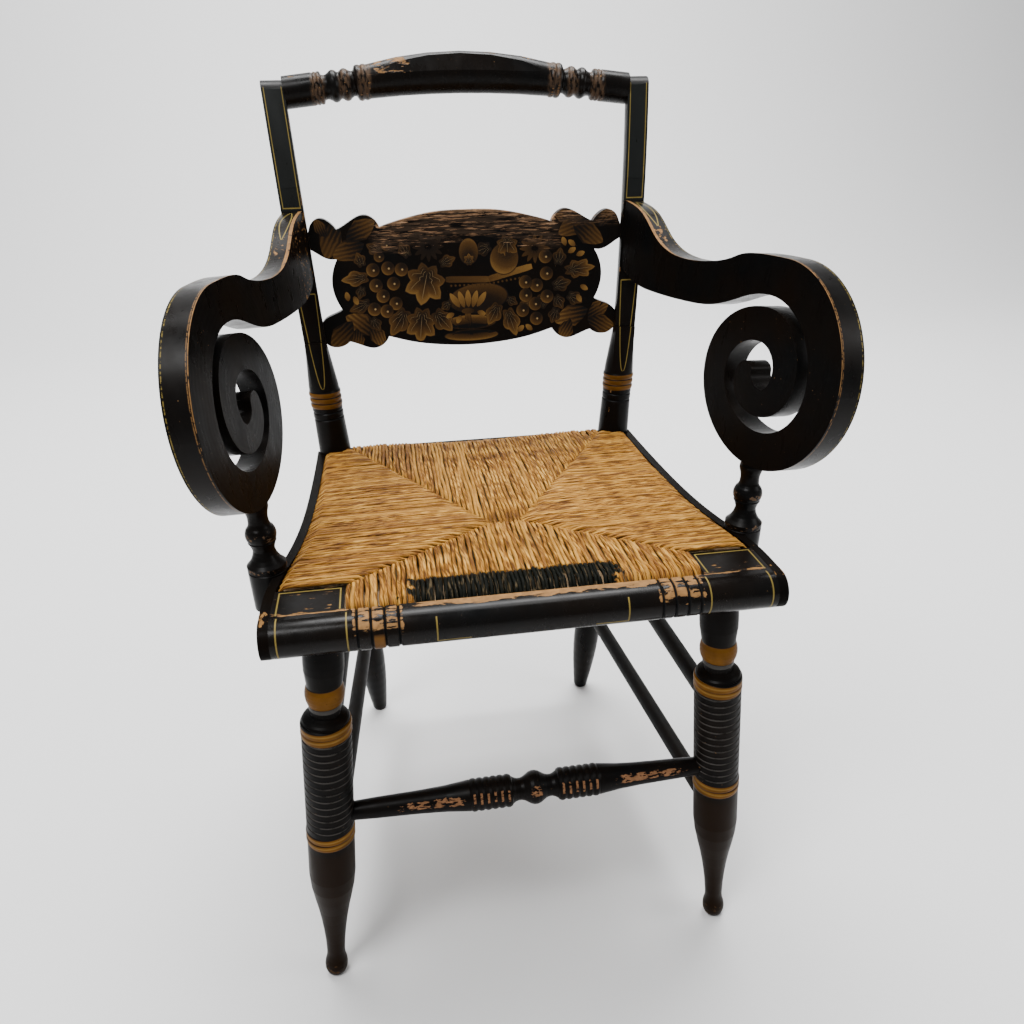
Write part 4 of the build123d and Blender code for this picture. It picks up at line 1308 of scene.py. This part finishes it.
@dataclass
class RushSeat(Woodwork):
    """The woven seat: twisted strands in four panels that meet along the diagonals.

    Attributes:
        pitch: distance from strand to strand, in millimetres.
        strand: a strand's radius.
        top: height of the seat's edge on top.
        bottom: height of its underside.
        front: the front edge in depth.
        back: the rear edge in depth.
        block_x: inner side of the corner blocks.
        block_back: their rear.
        ridge: left and right end of the line where the side panels meet, and its depth.
        corner_x: how far out the diagonals start.
        corner_front: the front diagonals' start in depth.
        corner_rear: the rear ones'.
        edge_line: depth and half width along the side, inside the bent strips.
        seed: start of the strands' irregularities.
        steps: how many bends a strand can have.
    """

    pitch: float = 3.85
    strand: float = 1.92
    top: float = 449.5
    bottom: float = 411.5
    front: float = -207.0
    back: float = 163.0
    block_x: float = 153.0
    block_back: float = -169.0
    ridge: Place = (-17.0, 13.0, -80.0)
    corner_x: float = 150.0
    corner_front: float = -172.0
    corner_rear: float = 147.0
    edge_line: tuple[Pair, ...] = ((-187.5, 211.0), (-150.0, 207.0), (-109.0, 199.5), (-58.0, 192.0),
                                   (37.0, 185.6), (163.0, 183.6))
    seed: int = 11
    steps: int = 9

    def side_edge(self, y: float) -> float:
        """Half width of the rush at a depth, inside the bent strips.

        Args:
            y: the depth.

        Returns:
            The half width.
        """
        knots = self.edge_line
        if y < knots[0][0]:
            return knots[0][1]
        for (y0, x0), (y1, x1) in zip(knots, knots[1:]):
            if y <= y1:
                share = (y - y0) / (y1 - y0)
                return x0 + (x1 - x0) * share
        return knots[-1][1]

    def side_limit(self, y: float, side: int) -> float:
        """Where a strand of a side panel ends, on the diagonal.

        Args:
            y: the strand's depth.
            side: 1 on the right, -1 on the left.

        Returns:
            The x of its inner end.
        """
        left, right, middle = self.ridge
        inner = right if side > 0 else left
        corner_y = self.corner_rear if y > middle else self.corner_front
        share = (y - middle) / (corner_y - middle)
        return inner + (side * self.corner_x - inner) * min(max(share, 0.0), 1.3)

    def end_limit(self, x: float, rear: bool) -> float:
        """Where a strand of the front or rear panel ends, on the diagonal.

        Args:
            x: the strand's place across the seat.
            rear: whether it belongs to the rear panel.

        Returns:
            The y of its inner end.
        """
        left, right, middle = self.ridge
        corner_y = self.corner_rear if rear else self.corner_front
        if left <= x <= right:
            return middle
        inner, corner_x = (right, self.corner_x) if x > 0 else (left, -self.corner_x)
        return middle + (corner_y - middle) * ((x - inner) / (corner_x - inner))

    def crown(self, x: float, y: float) -> float:
        """Height of the seat's top over its edge, from the stuffing.

        Args:
            x: place across.
            y: place in depth.

        Returns:
            The height in millimetres.
        """
        rise, half_width, middle, half_depth = 2.2, 205, -22, 195
        across = 1 - (abs(x) / half_width) ** 2
        along = 1 - ((y - middle) / half_depth) ** 2
        return rise * max(across, 0.0) * max(along, 0.0)

    def master(self) -> bpy.types.Mesh:
        """Models one plain strand: a slim round bar along X, ready to be laid and bent.

        Returns:
            Its mesh, from x=0 to x=1, with radius 1.
        """
        Bench.clear()
        bpy.ops.mesh.primitive_cylinder_add(vertices=6, radius=1.0, depth=1.0, rotation=(0, math.pi / 2, 0),
                                            location=(0.5, 0, 0), end_fill_type="NGON")
        bar = bpy.context.object
        bpy.ops.object.transform_apply(location=True, rotation=True, scale=True)
        bpy.ops.object.mode_set(mode="EDIT")
        for step in range(1, self.steps):
            bpy.ops.mesh.select_all(action="SELECT")
            bpy.ops.mesh.bisect(plane_co=(step / self.steps, 0, 0), plane_no=(1, 0, 0))
        bpy.ops.object.mode_set(mode="OBJECT")
        return Bench.keep_mesh(bar)

    def lay_strand(self, blank: bpy.types.Mesh, outer: Pair, inner: Pair,
                   chance: random.Random, upper: bool) -> bpy.types.Object:
        """Lays one strand from the rail to the diagonal.

        Args:
            blank: the plain strand.
            outer: its end at the rail, as (x, y) in millimetres.
            inner: its end on the diagonal.
            chance: where its small irregularities come from.
            upper: whether it is on the seat's top.

        Returns:
            The strand.
        """
        mesh = blank.copy()
        start, end = Vector(outer), Vector(inner)
        run = end - start
        length = max(run.length, 0.1)
        ahead = run / length
        sideways = Vector((-ahead.y, ahead.x))
        wide, tall = self.strand * chance.uniform(0.94, 1.12), self.strand * chance.uniform(0.86, 1.08)
        lift, sway = chance.uniform(-0.5, 0.5), chance.uniform(-0.5, 0.5)
        phase = chance.uniform(0, 6.3)
        tint = chance.random()
        full_turn = 6.283
        mesh.attributes.new("tint", "FLOAT", "POINT")
        mesh.attributes.new("flow", "FLOAT_VECTOR", "POINT")
        own, flow = mesh.attributes["tint"].data, mesh.attributes["flow"].data
        for vertex in mesh.vertices:
            t, v, w = vertex.co
            share = t * t * (3 - 2 * t) * 0.45 + t * 0.55
            along = share * length
            over_rail, into_ridge = max(0.0, 1 - along / 7.0), max(0.0, 1 - (length - along) / 7.0)
            drop = 6.0 * over_rail ** 2 + 2.8 * into_ridge ** 2
            wobble = 0.55 * math.sin(along / 17.0 + phase) + 0.4 * math.sin(along / 6.1 + 2 * phase)
            centre = start + ahead * along + sideways * (sway + wobble + v * wide)
            level = self.crown(centre.x, centre.y) + lift - drop
            height = self.top - tall + level + w * tall
            if not upper:
                height = self.bottom + tall - level * 0.4 + w * tall
            vertex.co = Vector((centre.x, centre.y, height)) * MM
            own[vertex.index].value = tint
            around = math.atan2(w, v) / full_turn
            flow[vertex.index].vector = (along, around * 14.0 + along * 0.2, tint * 400.0)
        return Bench.place("rush_strand", mesh)

    def strands(self, blank: bpy.types.Mesh, upper: bool) -> list[bpy.types.Object]:
        """Lays every strand of one layer.

        Args:
            blank: the plain strand.
            upper: whether it is the seat's top layer.

        Returns:
            The strands.
        """
        chance = random.Random(self.seed + upper)
        pieces = []
        y = self.block_back + self.pitch / 2
        while y < self.back - 12.0:
            for side in (-1, 1):
                edge = self.side_edge(y) * side
                limit = self.side_limit(y, side)
                if side * (edge - limit) > 6.0:
                    pieces.append(self.lay_strand(blank, (edge, y), (limit - side * 1.5, y), chance, upper))
            y += self.pitch * chance.uniform(0.95, 1.05)
        for rear, outer in ((False, self.front), (True, self.back)):
            span = self.block_x - 1.5
            x = -span + self.pitch / 2
            while x < span:
                inner = self.end_limit(x, rear) + (-1.5 if rear else 1.5)
                pieces.append(self.lay_strand(blank, (x, outer), (x, inner), chance, upper))
                x += self.pitch * chance.uniform(0.95, 1.05)
        return pieces

    def finish(self) -> bpy.types.Material:
        """The strands' finish: golden twisted rush, with the old black band at the front.

        Returns:
            The material.
        """
        coat = Coat("rush_golden", RUSH, 0.62, 0.10)
        on = coat.on
        fibre = on.stored("flow")
        tint = on.attribute("tint")
        fine = on.noise((15.0, 1.1, 30.0), 5.0, 0.62, 2.0, fibre)
        broad = on.noise((22.0, 4.0, 30.0), 3.0, 0.5, 7.0, fibre)
        coat.lay(fine.above(0.55, 0.09), RUSH_LIGHT, 0.5)
        coat.lay(broad.above(0.59, 0.07), RUSH_STRAW)
        coat.lay(fine.below(0.44, 0.06), RUSH_SHADE, 0.7)
        coat.lay(broad.below(0.41, 0.05) * 0.8, RUSH_DEEP)
        coat.lay(tint.above(0.86, 0.05) * 0.5, RUSH_DARK_STRAND)
        coat.lay(tint.below(0.16, 0.06) * 0.5, RUSH_PALE_STRAND)
        ragged = on.noise((7.0, 9.0, 9.0), 4.0, 0.6, 5.0) * 60.0 - 30.0
        across = on.x.between(ragged - 100.0, ragged * 0.7 + 80.0, 1.5)
        stained = across * (on.y + ragged * 0.25).below(-177.0, 1.2) * on.z.above(430.0, 2.0)
        coat.lay(stained, OLD_STAIN, 0.5, gloss=0.03)
        coat.lay(stained * on.noise((2.0, 16.0, 8.0), 4.0, 0.6, 9.0).above(0.60, 0.04) * 0.5, STAIN_RUBBED)
        coat.relief(fine, 0.5)
        coat.relief(on.noise((4.0, 3.0, 30.0), 2.0, 0.5, 1.0, fibre), 0.3)
        return coat.material

    def dress(self) -> None:
        """Weaves the seat and finishes the stuffing."""
        blank = self.master()
        pieces = self.strands(blank, True) + self.strands(blank, False)
        count = len(pieces)
        seat = Bench.join(pieces, "rush_weave")
        bpy.data.meshes.remove(blank)
        Bench.clear()
        seat.select_set(True)
        bpy.context.view_layer.objects.active = seat
        bpy.ops.object.shade_smooth()
        Bench.cover(seat, self.finish())
        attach(seat, "root")
        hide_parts("rush_seat")
        loose = Coat("rush_stuffing", STUFFING, 0.85)
        loose.lay(loose.on.noise((3.0, 24.0, 3.0), 4.0).above(0.5, 0.1), STUFFING_SHADE)
        self.paint(["seat_stuffing"], loose.material)
        log.info("rush of %d strands", count)


# ---- the studio
@dataclass
class Studio:
    """A pale floor, soft light and the camera.

    Attributes:
        camera_at: the camera's place, in metres.
        yaw: degrees that it looks to the right.
        pitch: degrees that it looks down.
        roll: degrees that it leans.
        focal: its focal length, in millimetres.
        floor_half: half the floor's width, and how far it runs to the front, in metres.
        sweep_radius: radius of the sweep from floor to wall.
        sweep_start: where the sweep starts behind the chair.
        wall_height: height of the wall over the sweep.
    """

    camera_at: Place = (-0.10156, -0.78455, 0.79755)
    yaw: float = 8.631
    pitch: float = 25.475
    roll: float = 1.083
    focal: float = 816.5 / 1024 * 36
    floor_half: float = 13.0
    sweep_radius: float = 2.2
    sweep_start: float = 2.6
    wall_height: float = 5.0

    def floor(self) -> None:
        """Lays the floor, which sweeps up behind the chair."""
        Bench.clear()
        bpy.ops.mesh.primitive_plane_add(size=1.0, location=(0, 0, 0))
        ground = bpy.context.object
        ground.name = "studio_floor"
        bpy.ops.object.mode_set(mode="EDIT")
        bpy.ops.mesh.select_all(action="SELECT")
        depth = self.floor_half + self.sweep_start
        bpy.ops.transform.resize(value=(2 * self.floor_half, depth, 1.0))
        bpy.ops.transform.translate(value=(0, self.sweep_start - depth / 2, 0))
        bpy.ops.object.mode_set(mode="OBJECT")
        self.pick_rear_edge(ground.data)
        bpy.ops.object.mode_set(mode="EDIT")
        bpy.ops.mesh.select_mode(type="EDGE")
        hinge = (0, self.sweep_start, self.sweep_radius)
        bpy.ops.mesh.spin(steps=24, angle=-math.pi / 2, center=hinge, axis=(1, 0, 0))
        bpy.ops.mesh.extrude_region_move(TRANSFORM_OT_translate={"value": (0, 0, self.wall_height)})
        bpy.ops.mesh.select_mode(type="VERT")
        bpy.ops.mesh.select_all(action="SELECT")
        bpy.ops.mesh.remove_doubles(threshold=0.0001)
        bpy.ops.mesh.normals_make_consistent(inside=False)
        bpy.ops.object.mode_set(mode="OBJECT")
        bpy.ops.object.shade_smooth()
        Bench.cover(ground, Coat("studio_pale", STUDIO_PALE, 0.9, 0.0).material)

    def pick_rear_edge(self, mesh: bpy.types.Mesh) -> None:
        """Selects the floor's rear edge alone.

        Args:
            mesh: the floor.
        """
        rear = {v.index for v in mesh.vertices if v.co.y > self.sweep_start - 0.01}
        for item in (*mesh.vertices, *mesh.edges, *mesh.polygons):
            item.select = False
        for vertex in mesh.vertices:
            vertex.select = vertex.index in rear
        for edge in mesh.edges:
            edge.select = set(edge.vertices) <= rear

    def lamp(self, name: str, at: Place, towards: Place, size: float, power: float) -> None:
        """Hangs one large soft lamp.

        Args:
            name: the lamp's name.
            at: where it hangs, in metres.
            towards: what it is turned to.
            size: its side in metres.
            power: its power in watts.
        """
        data = bpy.data.lights.new(name, "AREA")
        data.shape = "SQUARE"
        data.size = size
        data.energy = power
        lamp = Bench.place(name, data)
        lamp.location = at
        lamp.rotation_euler = (Vector(towards) - Vector(at)).to_track_quat("-Z", "Y").to_euler()

    def camera(self) -> None:
        """Sets up the camera."""
        data = bpy.data.cameras.new("camera")
        data.sensor_width = 36.0
        data.lens = self.focal
        data.clip_start = 0.02
        camera = Bench.place("camera", data)
        yaw, pitch, roll = (Matrix.Rotation(math.radians(angle), 4, axis) for angle, axis in (
            (-self.yaw, "Z"), (90 - self.pitch, "X"), (-self.roll, "Z")))
        camera.matrix_world = Matrix.Translation(self.camera_at) @ (yaw @ pitch) @ roll
        bpy.context.scene.camera = camera

    def build(self) -> None:
        """Sets up the whole studio."""
        self.floor()
        self.lamp("key_light", (-1.1, -1.3, 2.9), (0, 0, 0.4), 1.1, 90.0)
        self.lamp("top_light", (0.3, 0.9, 3.6), (0, 0.4, 0.0), 2.4, 170.0)
        self.lamp("side_light", (2.6, -0.9, 1.7), (0, 0, 0.4), 1.2, 26.0)
        self.lamp("wall_light", (0.0, 1.4, 4.2), (0, 4.8, 1.2), 3.0, 420.0)
        world = bpy.data.worlds.new("studio_air")
        world.use_nodes = True
        sky = world.node_tree.nodes["Background"]
        sky.inputs["Color"].default_value = (0.97, 0.98, 1.0, 1.0)
        sky.inputs["Strength"].default_value = 0.34
        bpy.context.scene.world = world
        self.camera()


def main() -> None:
    """Builds and finishes the chair in order."""
    logging.basicConfig(level=logging.INFO, format="%(name)s: %(message)s")
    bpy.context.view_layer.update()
    for assembly in (BackPosts(), FrontLegs(), Stretchers(), CrestRail(), ScrollArms(), SeatFrame(),
                     Slat(), RushSeat()):
        assembly.dress()
        log.info("%s done", type(assembly).__name__)
    Studio().build()


if __name__ == "__main__":
    main()
